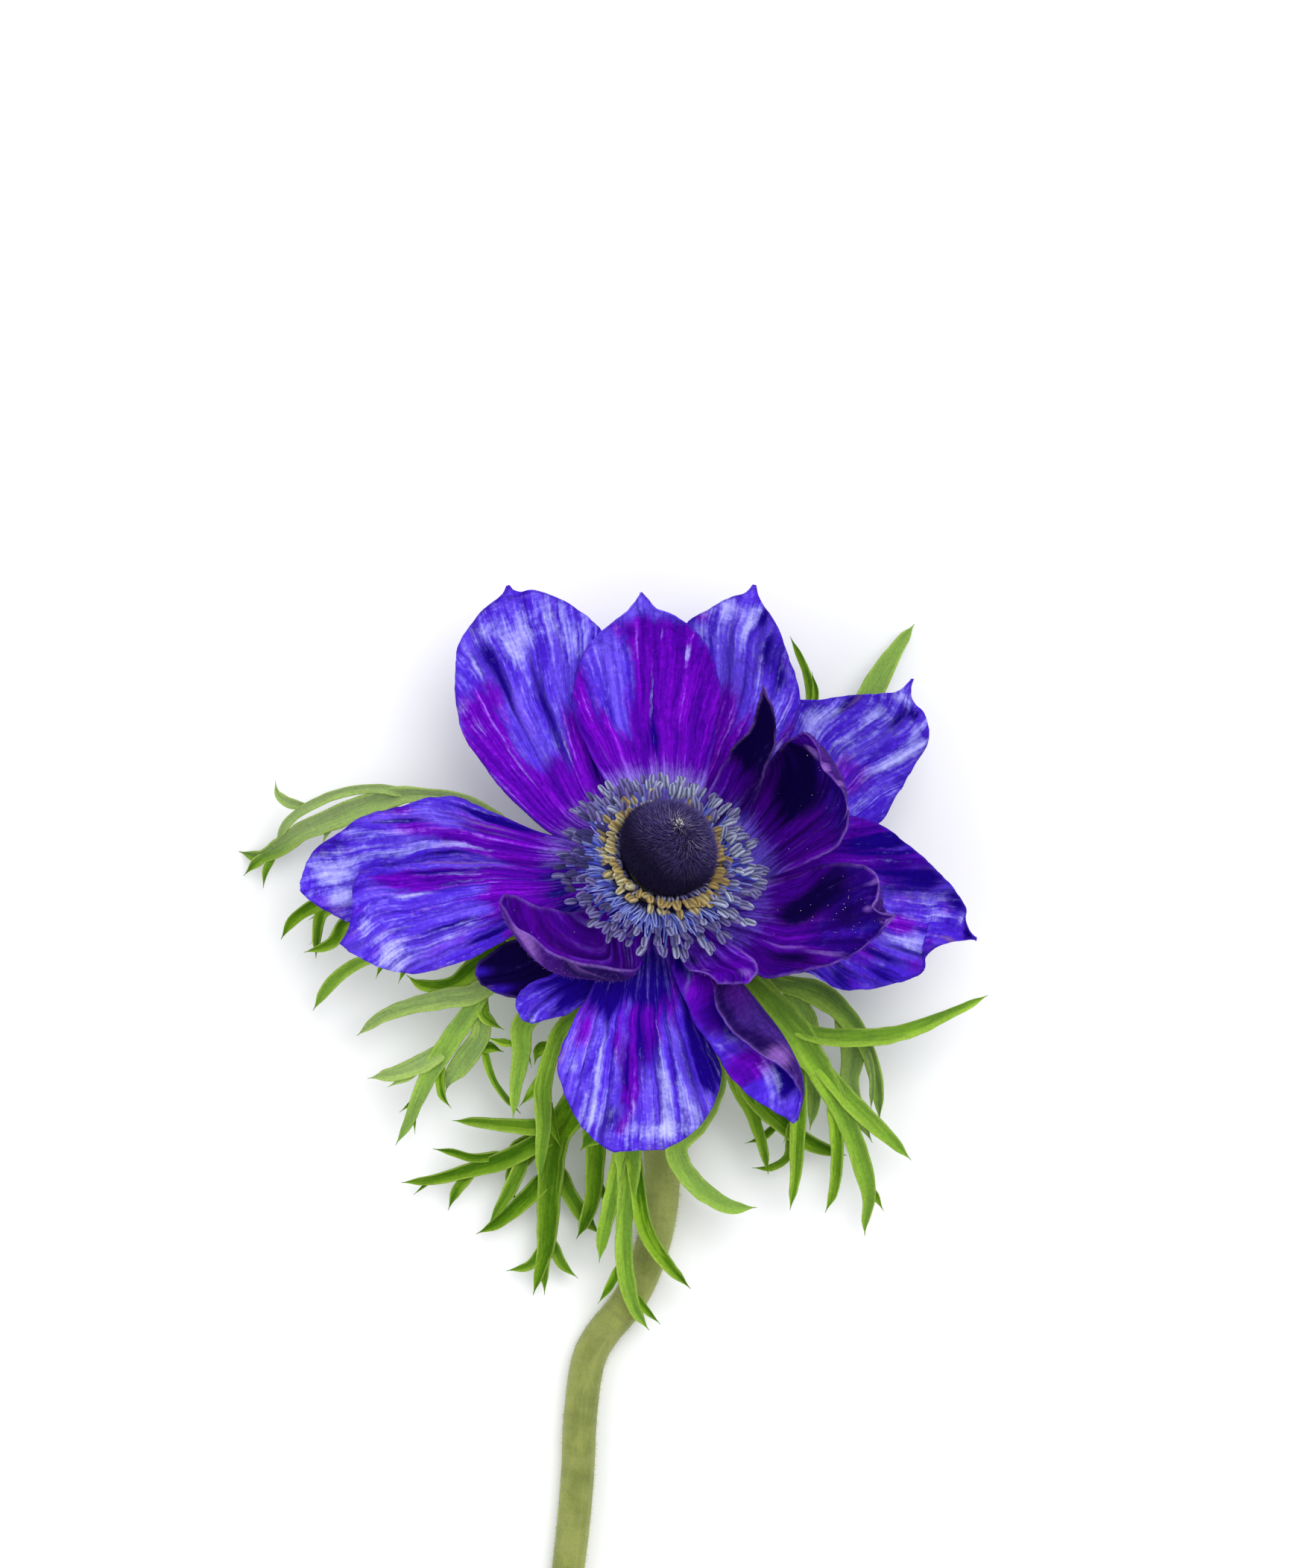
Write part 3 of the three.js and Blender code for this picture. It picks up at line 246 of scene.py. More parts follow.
def make_piece(name, vertices, faces, materials, masks, stands_for=(), under=None):
    """A smooth mesh of the object from points in millimetres."""
    global triangles
    mesh = bpy.data.meshes.new(name)
    mesh.from_pydata(((np.asarray(vertices) - ORIGIN) * MM).tolist(), [], [list(f) for f in faces])
    for mask, value in masks.items():
        value = np.asarray(value, np.float32)
        kind, field = ("FLOAT_VECTOR", "vector") if value.ndim == 2 else ("FLOAT", "value")
        mesh.attributes.new(mask, kind, "POINT").data.foreach_set(field, value.ravel())
    for material in materials:
        mesh.materials.append(material)
    if under is not None:
        mesh.polygons.foreach_set("material_index", np.asarray(under, np.int32))
    mesh.polygons.foreach_set("use_smooth", np.ones(len(mesh.polygons), bool))
    mesh.update()
    piece = bpy.data.objects.new(name, mesh)
    bpy.context.scene.collection.objects.link(piece)
    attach(piece, "root")
    if stands_for:
        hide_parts(*stands_for)
    here = sum(len(f) - 2 for f in faces)
    triangles += here
    print(f"{name}: {here} triangles")


def make_heap(name, heap, materials, stands_for=()):
    masks = {key: np.concatenate(value) for key, value in heap.masks.items()}
    make_piece(name, np.concatenate(heap.vertices), heap.faces, materials, masks, stands_for)


print("each piece rides on the one body")

# %% [markdown]
# ## Paint
# Every finish is built from nodes, with no picture in it. A petal's colour runs in strokes from its
# base to its tip, as if brushed on, so each blade carries a set of coordinates in millimetres
# across and along itself. Noise that is stretched along those coordinates gives the strokes, the
# fine lines and the veins. Small helpers keep the node code short.

# %% Helpers for node code
def paint(code):
    """A colour from its usual code, as Blender's linear numbers."""
    parts = [int(code[k:k + 2], 16) / 255 for k in (1, 3, 5)]
    return tuple(p / 12.92 if p < 0.04045 else ((p + 0.055) / 1.055) ** 2.4 for p in parts) + (1,)


class Paint:
    """A material being built: each method adds nodes and returns what comes out of them."""

    def __init__(self, name, roughness, sheen=0.0, sheen_colour="#ffffff", shine=0.3):
        self.material = bpy.data.materials.new(name)
        self.material.use_nodes = True
        self.tree = self.material.node_tree
        self.shader = self.tree.nodes["Principled BSDF"].inputs
        self.feed(self.shader["Roughness"], roughness)
        self.feed(self.shader["Specular IOR Level"], shine)
        self.feed(self.shader["Sheen Weight"], sheen)
        self.feed(self.shader["Sheen Tint"], sheen_colour)

    def feed(self, socket, value):
        """Links an output to a socket, or sets the socket to a number or to a colour's code."""
        if isinstance(value, bpy.types.NodeSocket):
            self.tree.links.new(value, socket)
        else:
            socket.default_value = paint(value) if isinstance(value, str) else value

    def node(self, kind, inputs, **settings):
        """A new node with its settings, and its inputs fed by name or number."""
        made = self.tree.nodes.new(kind)
        for key, value in settings.items():
            setattr(made, key, value)
        for key, value in inputs.items():
            self.feed(made.inputs[key], value)
        return made.outputs

    def mask(self, name):
        return self.node("ShaderNodeAttribute", {}, attribute_name=name)["Fac"]

    def grain(self, stretch, shift=0.0):
        """The blade's own coordinates, stretched, and shifted so that no two noises look alike."""
        place = self.node("ShaderNodeAttribute", {}, attribute_name="grain")["Vector"]
        return self.node("ShaderNodeMapping", {"Vector": place, "Scale": stretch,
                                               "Location": (shift, shift * 1.7, 0)})["Vector"]

    def noise(self, stretch, shift=0.0, detail=3.0, roughness=0.55):
        return self.node("ShaderNodeTexNoise", {"Vector": self.grain(stretch, shift), "Scale": 1,
                                                "Detail": detail, "Roughness": roughness})["Fac"]

    def net(self, stretch, shift, swing):
        """How far a place lies from the nearest line of a wavy net of cells."""
        place = self.grain(stretch, shift)
        stir = self.node("ShaderNodeTexNoise", {"Vector": place})["Color"]
        wavy = self.node("ShaderNodeVectorMath", {0: stir, 1: (swing, swing, 0), 2: place},
                         operation="MULTIPLY_ADD")["Vector"]
        return self.node("ShaderNodeTexVoronoi", {"Vector": wavy, "Scale": 1},
                         feature="DISTANCE_TO_EDGE")["Distance"]

    def sum(self, first, *others):
        for other in others:
            first = self.node("ShaderNodeMath", {0: first, 1: other}, operation="ADD")[0]
        return first

    def times(self, value, factor, plus=None):
        """The value times the factor, with plus added if it is given."""
        if plus is None:
            return self.node("ShaderNodeMath", {0: value, 1: factor}, operation="MULTIPLY")[0]
        return self.node("ShaderNodeMath", {0: value, 1: factor, 2: plus}, operation="MULTIPLY_ADD")[0]

    def fade(self, value, low, high):
        """0 where value is at low or beyond, 1 where it is at high or beyond, smooth between."""
        return self.node("ShaderNodeMapRange", {"Value": value, "From Min": low, "From Max": high},
                         interpolation_type="SMOOTHSTEP")["Result"]

    def wash(self, name, field, swing, low, high):
        """How much of a wash shows: its painted amount, made uneven by a field of noise."""
        return self.fade(self.times(self.sum(field, -0.5), swing, self.mask(name)), low, high)

    def blend(self, factor, first, second):
        return self.node("ShaderNodeMix", {0: factor, 6: first, 7: second}, data_type="RGBA")[2]

    def tint(self, tone, colour, where, share=1.0):
        """Lays a colour over the tone. where is a mask or its name, and share its full strength."""
        where = self.mask(where) if isinstance(where, str) else where
        return self.blend(where if share == 1 else self.times(where, share), tone, colour)

    def shade(self, colour, amount):
        """A colour made lighter or darker by an amount near 1."""
        return self.node("ShaderNodeVectorMath", {"Vector": colour, "Scale": amount},
                         operation="SCALE")["Vector"]

    def colour(self, value):
        self.feed(self.shader["Base Color"], value)

    def bump(self, height, depth, strength=1.0):
        made = self.node("ShaderNodeBump", {"Height": height, "Distance": depth, "Strength": strength})
        self.feed(self.shader["Normal"], made["Normal"])

    def roughness(self, value, low, high):
        made = self.node("ShaderNodeMapRange", {"Value": value, "To Min": low, "To Max": high})
        self.feed(self.shader["Roughness"], made["Result"])


print("the paint helpers make colours such as", [round(c, 3) for c in paint("#4b35d6")])

# %% [markdown]
# A petal is a stack of washes. On a blue-violet ground lie a brighter violet, a faint mist and haze,
# plum that turns to wine in places, dark indigo in strokes, pleats and a fine net of veins, and
# pale strokes that gather towards the tip. The dark indigo also lays painted shade, where the stamens
# or another petal would shade the petal and on faces that turn from the light. A lilac edge, a glow
# round the stamens and a fine line along the rim come last; on the dark petals that line is lighter,
# a painted edge highlight. How much of each shows where is a mask painted on the petal's points. The
# same stack with darker colours makes the velvety inner petals, which are partly dark with their own
# pigment and partly with painted shade. With dull lilac colours it makes the undersides.

# %% Petal paint
def petal_paint(name, colours, roughness, sheen, sheen_colour, brushy=1.0, hairy=0.0):
    ground, bright, plum, wine, indigo_and_shade, pale, lilac, glow, rim = colours
    p = Paint(name, roughness, sheen, sheen_colour, shine=0.02)
    bands = p.noise((0.5, 0.035, 1), 0, 2.5)
    smudge = p.noise((0.8, 0.05, 1), 5, 4, 0.58)
    fibre = p.noise((2.4, 0.075, 1), 7, 2.5, 0.6)
    patch = p.noise((0.25, 0.1, 1), 3, 4, 0.6)
    cells = p.noise((2.2, 1.6, 1), 11, 3, 0.65)
    frayed = p.noise((1.3, 0.75, 1), 19, 4, 0.68)
    mist = p.noise((0.5, 0.22, 1), 23, 4, 0.6)
    pleat = p.noise((1.0, 0.012, 1), 29, 2)
    veins = p.fade(p.net((0.42, 0.07, 1), 13, 0.5), 0.05, 0)
    brush = p.sum(p.times(smudge, 0.5), p.times(fibre, 0.28), p.times(frayed, 0.22))
    soft = p.sum(p.times(bands, 0.6), p.times(brush, 0.4))
    streaks = p.times(p.fade(smudge, 0.36, 0.6), 0.5, 0.5)
    tone = p.blend(p.times(p.wash("bright", soft, 4 * brushy, 0.15, 1.2), streaks), ground, bright)
    tone = p.tint(tone, bright, p.fade(mist, 0.45, 0.75), 0.5 * brushy)
    tone = p.tint(tone, pale, p.fade(p.sum(mist, fibre, frayed), 1.5, 2), 0.35 * brushy)
    red = p.blend(p.fade(brush, 0.43, 0.62), plum, wine)
    blot = p.times(p.sum(patch, brush), 0.5)
    tone = p.tint(tone, red, p.wash("plum", blot, 3.2 * brushy, 0.2, 0.72))
    # Dark indigo strokes, together with painted shade wherever the masks put it.
    tone = p.tint(tone, indigo_and_shade, p.wash("indigo_and_shade", soft, 4 * brushy, 0.32, 1))
    tone = p.tint(tone, indigo_and_shade, p.fade(pleat, 0.54, 0.72), 0.6)
    tone = p.tint(tone, indigo_and_shade, veins, 0.3)
    tone = p.tint(tone, pale, p.wash("pale", brush, 4.4 * brushy, 0.3, 1.5), 0.95)
    tone = p.tint(tone, lilac, p.wash("lilac", fibre, 0.8, 0.25, 1))
    tone = p.tint(tone, glow, p.wash("glow", brush, 2.2, 0.15, 1.1))
    # The rim line. On the dark petals its lighter lilac is a painted edge highlight.
    tone = p.tint(tone, rim, p.times(p.mask("rim"), p.fade(patch, 0.3, 0.75)))
    tone = p.tint(tone, pale, p.fade(cells, 0.4, 0.75), hairy)
    p.colour(p.shade(tone, p.sum(p.times(cells, 1.1), p.times(brush, 1.4, -0.22))))
    height = p.sum(p.times(fibre, 1.2), p.times(cells, 0.5 + hairy), p.times(veins, -0.8))
    p.bump(height, 0.00012 + hairy * 0.0002, 0.6)
    p.roughness(fibre, roughness - 0.1, roughness + 0.12)
    return p.material


# ground, bright, plum, wine, dark indigo (also painted shade), pale, lilac, glow and rim
SATIN = ("#4622ca", "#765af4", "#5203a8", "#7e0aca", "#160078", "#b2b2fa", "#7452a0", "#a898fa",
         "#3a1a9c")
# The inner petals' darker colours are partly their own pigment and partly painted shade, as their cupped
# faces turn from the light.
VELVET = ("#210272", "#3018b4", "#400390", "#5c06a6", "#0b0138", "#7a58d8", "#7f58b2", "#7a68ee",
          "#7450aa")
LILAC_BACK = ("#301468", "#4c2c92", "#37086e", "#4c1684", "#180448", "#8468b8", "#8458b0", "#5b4be8",
              "#8560bc")
SATIN_BACK = ("#462cb4", "#6f5cdc", "#56149c", "#7030b4", "#220a70", "#b4acec", "#7f52ac", "#9f93f6",
              "#5a3cb4")
satin = petal_paint("petal_satin", SATIN, 0.55, 0.0, "#6a50ff")
velvet = petal_paint("petal_velvet", VELVET, 0.65, 0.04, "#5a20c8", brushy=0.5)
lilac_back = petal_paint("petal_lilac_back", LILAC_BACK, 0.75, 0.1, "#9070d8", brushy=0.6, hairy=0.03)
satin_back = petal_paint("petal_satin_back", SATIN_BACK, 0.65, 0.1, "#8f80f0", hairy=0.05)
print("petal paints:", satin.name, velvet.name, lilac_back.name, satin_back.name)

# %% [markdown]
# Leaves are a fresh green with fine lengthwise veins and a dark groove. One half of each folded lobe
# has a painted highlight and the other painted shade, lobes that hang low get painted shade, and some
# are brighter or dusty. The stem is a downy olive with faint bands across it, and painted light makes
# its neck lighter. Stamens have slate or golden anthers on violet-blue threads, with painted shade in
# the seam and painted highlights on the crests of the sacs, and the dome of carpels is almost black
# under its violet hairs.

# %% Leaf, stem, stamen and dome paint
def leaf_paint():
    p = Paint("leaf_green", 0.55, shine=0.015)
    streak = p.noise((1.3, 0.1, 1))
    blotch = p.noise((0.25, 0.12, 1), 5)
    fibre = p.noise((4.5, 0.25, 1), 9, 2)
    cells = p.noise((2.4, 1.8, 1), 2, 3, 0.65)
    tone = p.blend(p.fade(blotch, 0.38, 0.62), "#427306", "#74a416")
    # Painted highlight on the half of each lobe that faces the upper right, and painted shade on the other
    # half.
    tone = p.tint(tone, "#a6cc40", "lit", 0.7)
    tone = p.tint(tone, "#2a5202", "dim", 0.75)
    tone = p.tint(tone, "#a4ca3c", p.fade(streak, 0.52, 0.7), 0.4)
    tone = p.tint(tone, "#204404", p.fade(streak, 0.48, 0.34), 0.45)
    tone = p.tint(tone, "#335c06", "groove", 0.55)
    # Painted shade on lobes that hang low under the flower.
    tone = p.tint(tone, "#3a5c10", "far")
    tone = p.tint(tone, "#98c054", "bright")
    tone = p.tint(tone, "#a3b57c", "dust", 0.55)
    tone = p.tint(tone, "#aecb58", "rim", 0.45)
    p.colour(p.shade(tone, p.sum(p.times(cells, 0.7), p.times(fibre, 0.6, 0.35))))
    p.bump(p.sum(fibre, p.sum(streak, cells)), 0.00014, 0.8)
    p.roughness(streak, 0.45, 0.62)
    return p.material


def stem_paint():
    p = Paint("stem_green", 0.7, 0.45, "#dde2b4", shine=0.1)
    streak = p.noise((1.1, 0.06, 1), 0, 4)
    blotch = p.noise((0.22, 0.1, 1), 4, 4, 0.65)
    band = p.noise((0.07, 0.3, 1), 8, 3, 0.6)
    felt = p.noise((3.2, 3.2, 1), 2, 3, 0.7)
    tone = p.blend(p.fade(blotch, 0.36, 0.66), "#757f3e", "#8f974e")
    tone = p.tint(tone, "#8f9456", p.fade(band, 0.46, 0.66), 0.5)
    tone = p.tint(tone, "#6a6c3c", p.fade(band, 0.46, 0.3), 0.4)
    tone = p.tint(tone, "#a0a668", p.fade(streak, 0.54, 0.7), 0.22)
    # Painted light on the neck, lifting the shade that the flower and leaves cast on it.
    tone = p.tint(tone, "#b9c070", "neck", 0.85)
    p.colour(p.shade(tone, p.times(felt, 0.5, 0.75)))
    p.bump(p.sum(streak, felt), 0.00018, 0.8)
    return p.material


def stamen_paint(name, ground, light, shade, thread, thread_light):
    p = Paint(name, 0.6, 0.1, shine=0.15)
    grit = p.noise((9, 9, 9), 0, 3, 0.7)
    patch = p.noise((1.2, 1.2, 1.2), 3, 2)
    body = p.blend(p.fade(p.mask("tint"), 0, 0.5), shade, ground)
    body = p.tint(body, light, p.fade(p.mask("tint"), 0.5, 1))
    body = p.tint(body, shade, p.fade(patch, 0.48, 0.7), 0.3)
    body = p.shade(body, p.times(grit, 1.2, 0.38))
    # Painted highlight on the crests of the pollen sacs.
    body = p.shade(body, p.times(p.mask("crest"), 0.55, 0.8))
    # Painted shade in the seam between the sacs, and all over the collar, whose seam mask is 1.
    body = p.tint(body, shade, "seam")
    stalk = p.blend(p.fade(p.mask("tint"), 0.1, 0.9), thread, thread_light)
    p.colour(p.tint(body, stalk, "thread"))
    p.bump(grit, 0.00012)
    return p.material


def dome_paint():
    p = Paint("dome_dark", 0.75, 0.1, "#5a3ca8", shine=0.08)
    grit = p.noise((2.6, 2.6, 2.6), 0, 4, 0.7)
    p.colour(p.blend(p.fade(grit, 0.45, 0.7), "#0a0416", "#22123e"))
    p.bump(grit, 0.0003)
    return p.material


def hair_paint(name, root, tip, stray):
    p = Paint(name, 0.5, shine=0.06)
    p.colour(p.tint(p.blend(p.mask("along"), root, tip), stray, "stray"))
    return p.material


leaf_green = leaf_paint()
stem_green = stem_paint()
slate = stamen_paint("stamen_slate", "#7a72ac", "#b6bfd8", "#2c2560", "#4450cc", "#a3b0f4")
gold = stamen_paint("stamen_gold", "#b59c60", "#cfcba2", "#6e5a34", "#6d66b0", "#b9b4dc")
dome_dark = dome_paint()
dome_hair = hair_paint("dome_hair", "#060218", "#947aff", "#dcd5ea")
pale_hair = hair_paint("pale_hair", "#848c50", "#b4ba88", "#ccd0ac")
lilac_hair = hair_paint("lilac_hair", "#44207c", "#8464b8", "#a890d0")
pollen = hair_paint("pollen_grain", "#a99fd0", "#e9e2f2", "#c9cc98")
print("materials:", len(bpy.data.materials))

# %% [markdown]
# ## Petals
# An anemone's petals, tepals to a botanist, stand in two rings. The outer ones are broad and satiny,
# the inner ones short, cupped and velvet dark. Each springs from a claw under the stamens, so a
# petal is told by the angle and level of its claw, by the points that its two edges pass through,
# and by how deep its middle sinks. A petal that is rolled or folded lengthwise has the line of its
# keel too. These are the same forms as the part's solids.
#
# Beside the form, each petal lists how much of each wash it has all over: bright, plum, the dark
# indigo that also carries painted shade, pale, the plum at its heart, the glow by the stamens and the
# line on its rim. Then come the places where a wash gathers. Each is a place in millimetres as seen
# from above, how far it spreads along the petal and across it, and how strong it is. A strength below
# 0 clears the wash. Some dark patches are painted shadow, where a petal lies in the shade of the
# stamens or of another petal, a few light ones are painted highlights, and one is a painted sheen.

# %% The petals' forms and washes
PETALS = [
    dict(name="petal_01_top_left", angle=118, level=-3.6, wide=(140, 98), dip=1.5,
         left=[(-17, 2.8, 18.6), (-22.5, 6.9, 17.8), (-28, 12.9, 17.5), (-31.4, 18.2, 18.3),
               (-32.6, 24, 19.6), (-31.6, 32, 21.3), (-28.9, 36, 22.1), (-26.4, 38.1, 22.4),
               (-25.6, 38.9, 22.5), (-25.1, 39.7, 22.6), (-24.9, 40.1, 22.6)],
         right=[(-7.4, 12, 14.4), (-7.8, 20, 15.2), (-9, 28, 18), (-10.8, 33.8, 20), (-15, 36.9, 21.3),
                (-20.5, 39.3, 22.2), (-22.9, 39, 22.4), (-24, 39.3, 22.5), (-24.7, 40.2, 22.6)],
         bright=0.5, plum=0.1, indigo_and_shade=0.22, pale=0.18, glow=0.35,
         patches=dict(
             pale=[(-21, 34.5, 4.5, 8, 0.5), (-23.6, 30, 3, 1.3, 0.6), (-16, 31.5, 4, 3, 0.5),
                   (-28.5, 33.5, 2, 1.3, 0.5), (-29.5, 27.3, 1.8, 0.8, 0.7), (-32, 22.4, 1.6, 1, 0.6),
                   (-29, 19, 1.6, 0.9, 0.4), (-22.5, 33, 2, 1.2, 0.3)],
             plum=[(-28.5, 17.5, 6, 5, 0.8), (-24, 11, 5, 4.5, 0.7), (-31, 22.5, 3, 2.5, 0.3),
                   (-17, 8, 6, 6, 0.9), (-13, 15, 6, 2, 0.6), (-15.5, 20, 5, 1.3, 0.4),
                   (-27, 24, 4, 1.5, 0.3)],
             # Painted shadow: the dark patch at (-12.2, 16) is where the top middle petal shades this one's
             # edge.
             indigo_and_shade=[(-25.5, 25.5, 5, 1.2, 0.75), (-20.2, 24.5, 6, 0.8, 0.6), (-27.5, 30, 2.5, 1, 0.5),
                    (-17, 17, 6, 1, 0.5), (-12.2, 16, 6, 0.9, 0.8), (-22, 17, 4, 0.8, 0.4)],
             bright=[(-22.5, 20, 7, 2, 0.5), (-17, 27, 5, 2.5, 0.35), (-18.5, 13, 5, 1.2, 0.4),
                     (-24, 23, 4, 1, 0.3)])),
    dict(name="petal_02_top_middle", angle=93, level=-0.7, wide=(116, 70), dip=2.4,
         left=[(-10.5, 11.5, 17.6), (-13.7, 18, 18.4), (-15.2, 23, 20.2), (-14.6, 27.5, 22.2),
               (-12.5, 31.8, 24), (-9.8, 34.8, 25.2), (-7.2, 36.9, 26), (-5.9, 38.2, 26.2),
               (-5.1, 39.2, 26.3)],
         right=[(4.2, 10, 15.8), (5.6, 15.5, 16.6), (6.3, 20.5, 18.6), (6.5, 24.3, 20.6), (5.6, 28.8, 22.6),
                (3.8, 32.7, 24.4), (0.6, 36, 25.6), (-2.7, 37.2, 26.1), (-4.1, 38.4, 26.2),
                (-4.9, 39.2, 26.3)],
         bright=0.45, plum=0.3, indigo_and_shade=0.12, pale=0.05,
         patches=dict(
             plum=[(-0.5, 26, 9, 5.5, 0.9), (-4, 33.5, 3.5, 2.5, 0.6), (-13.2, 24, 4, 2, 0.4),
                   (-12.5, 18, 4.5, 2.2, 0.6), (4, 19, 6, 3, 0.6), (3, 27, 5, 2.2, 0.4),
                   (0, 13, 3.5, 6, 0.3), (-4.5, 37.3, 2.2, 3.5, -0.8), (-9.3, 28.5, 6, 2.6, -0.6),
                   (-8, 20.5, 4, 1.4, -0.3)],
             bright=[(-9.3, 28, 6, 2.3, 0.4), (-8, 20.5, 5, 1.3, 0.3), (-5, 37.2, 2.5, 3, 0.9),
                     (1.6, 29, 3, 0.7, 0.5), (3.8, 21, 3, 0.7, 0.4)],
             pale=[(2.1, 30.6, 1.5, 0.6, 0.65), (-11, 27.5, 1.5, 0.8, 0.25), (-1.8, 33.5, 2, 0.5, 0.45),
                   (-10, 21.5, 3, 0.6, 0.4), (-3.2, 22, 1.6, 0.4, 0.3)],
             # Painted shade: the first dark patch darkens the dent near the claw.
             indigo_and_shade=[(-2.6, 17.6, 2.8, 3, 0.5), (-3.8, 27, 6, 0.6, 0.5), (-6.9, 33.8, 2, 1.4, 0.4),
                    (-13.5, 19, 4, 0.6, 0.6)],
             lilac=[(-10.2, 15, 4, 0.9, 0.4), (-3.7, 28, 3.5, 0.4, 0.35)])),
    dict(name="petal_03_top_right", angle=66, level=-2.2, wide=(88, 44), dip=1.2,
         left=[(-2.4, 12, 13), (-1.8, 20, 14.2), (-0.8, 28, 17.2), (2, 35, 19.4), (5, 36.7, 20.4),
               (8, 38.2, 21), (10.4, 38.8, 21.4), (11.3, 39.5, 21.5), (11.75, 40.3, 21.6)],
         right=[(10.5, 8.8, 14), (14.6, 14, 14.8), (17, 17.8, 16), (18.3, 22, 17), (18.2, 26, 18.2),
                (16.8, 30.2, 19.5), (14.4, 35.2, 20.8), (12.9, 37.4, 21.3), (12.2, 38.7, 21.5),
                (11.95, 40.3, 21.6)],
         bright=0.5, plum=0.12, indigo_and_shade=0.25, pale=0.22,
         patches=dict(
             pale=[(7, 36.3, 3, 3, 0.5), (5, 31.5, 2.5, 1, 0.4), (11.3, 34.5, 4.5, 0.5, 1),
                   (9.3, 37, 2, 2, 0.3), (14.2, 27, 3, 1, 0.3), (17, 22, 3, 0.9, 0.4),
                   (8.2, 32.5, 3, 0.8, 0.4), (4, 33.7, 1, 0.6, 0.5)],
             plum=[(7, 20, 6, 2.2, 0.8), (9.5, 16, 6, 3, 0.7), (4, 36, 1.5, 1.5, 0.6),
                   (17, 17.8, 3, 1.6, 0.6), (8, 12, 4, 3, 0.5)],
             indigo_and_shade=[(14.2, 30, 5, 1.8, 0.85), (16, 26.3, 2.5, 1.2, 0.6), (12.9, 35.5, 3, 0.6, 0.7),
                    (10.2, 24, 5, 0.6, 0.5)],
             bright=[(9.5, 25, 6, 0.9, 0.5), (6.7, 28, 4, 1.3, 0.4), (13, 23.5, 4, 0.8, 0.4)])),
    dict(name="petal_04_inner_upright", angle=50, level=-0.6, wide=(64, 41), dip=1.2, dark=True,
         left=[(6, 11.5, 16.8), (8.8, 16.2, 23), (10.5, 18.2, 27), (11.8, 20.8, 31), (12.4, 22.8, 34.6),
               (13, 25.1, 37.6)],
         right=[(10.7, 7.2, 17.6), (12.6, 11, 21), (14, 14, 25), (14.8, 17, 29), (14.9, 19.3, 32),
                (14.5, 21.8, 34.8), (13.1, 25.1, 37.6)],
         bright=0.05, plum=0.1, indigo_and_shade=0.75, pale=0, glow=0.35,
         patches=dict(
             indigo_and_shade=[(12.6, 20.5, 7, 2.4, 0.6), (11.5, 15.5, 4, 1.6, 0.4), (7.5, 11.5, 4, 2.4, -0.5)],
             plum=[(7.5, 11.5, 4, 2.4, 0.9)],
             bright=[(9, 11, 3, 2, 0.3)],
             lilac=[(13.4, 13, 4, 0.2, 0.4)])),
    dict(name="petal_05_inner_right", angle=9, level=-1, wide=(21, -5), dip=3.0, dark=True,
         left=[(10.5, 5.8, 15.9), (12.4, 10, 17), (13.7, 13.2, 19.5), (15, 15.6, 23.5), (17, 17.4, 29),
               (18.9, 18.4, 34)],
         right=[(13, -3.3, 21.2), (16, -2.4, 24.2), (19.5, -0.8, 28.5), (22.5, 0.7, 32), (24.5, 2.5, 34.2),
                (25.6, 6, 36), (25.3, 9, 37), (24, 11, 37.2), (22, 13.2, 37), (21.2, 15.8, 36.2),
                (19.9, 18, 34.8)],
         bright=0.05, plum=0.2, indigo_and_shade=0.5, pale=0,
         patches=dict(
             indigo_and_shade=[(18.5, 9.5, 6, 4, 0.8), (18.7, 16, 3, 1.6, 0.7)],
             plum=[(13, 8, 4, 3, 0.8), (18, 1.3, 6, 2.2, 0.8), (14, 4, 4, 3, 0.4)],
             bright=[(23, 8, 3, 1.6, 0.6), (16.8, 13.5, 3, 0.5, 0.6), (21.3, 3.2, 4, 1.2, 0.7),
                     (24, 4.5, 2, 0.8, 0.4)],
             lilac=[(20.6, 16, 2.2, 1, 1.1), (22, 13.2, 1.6, 0.8, 1), (24.3, 10.8, 1.6, 0.5, 0.8),
                    (25.6, 7, 2.5, 0.35, 0.8), (20, -0.5, 5, 0.5, 0.5), (16, -2, 4, 0.8, 0.5),
                    (18, 1.2, 5, 0.35, 0.5), (23, 4.8, 3, 0.3, 0.4)])),
    dict(name="petal_06_right_upper", angle=33, level=-3.8, wide=(52, 14), dip=1.4,
         left=[(9, 9, 12.8), (13.4, 17, 11.9), (16.8, 22.8, 12.2), (21, 23.3, 13.2), (27, 24, 15),
               (31.6, 24.4, 17), (33.2, 24.8, 17.3), (34.2, 25.6, 17.5), (35.1, 26.4, 17.6)],
         right=[(14, -1.2, 16.4), (22, 1.5, 15.6), (29.5, 4.5, 15.5), (33, 9.2, 15.8), (36.5, 15, 16.6),
                (37.7, 17.6, 17), (36.9, 21.2, 17.3), (35.8, 22.8, 17.4), (35.4, 24.2, 17.5),
                (35.4, 26.4, 17.6)],
         bright=0.35, plum=0.02, indigo_and_shade=0.24, pale=0.25, heart=0,
         patches=dict(
             pale=[(26, 17, 3.8, 1.1, 0.6), (33, 14.5, 4.6, 1, 1), (20.5, 20.3, 3.4, 2.4, 0.65),
                   (30.3, 21.5, 3.4, 1.6, 0.7), (34, 23.6, 2, 1.8, 0.7), (36, 19, 1.5, 0.8, 0.5),
                   (28, 8, 1.8, 0.6, 0.6), (29.6, 18.2, 1.4, 0.5, 0.5), (24, 21.3, 2, 0.9, 0.4),
                   (36.3, 16.8, 1.5, 1.2, 0.5), (19, 15, 2.5, 1, 0.3)],
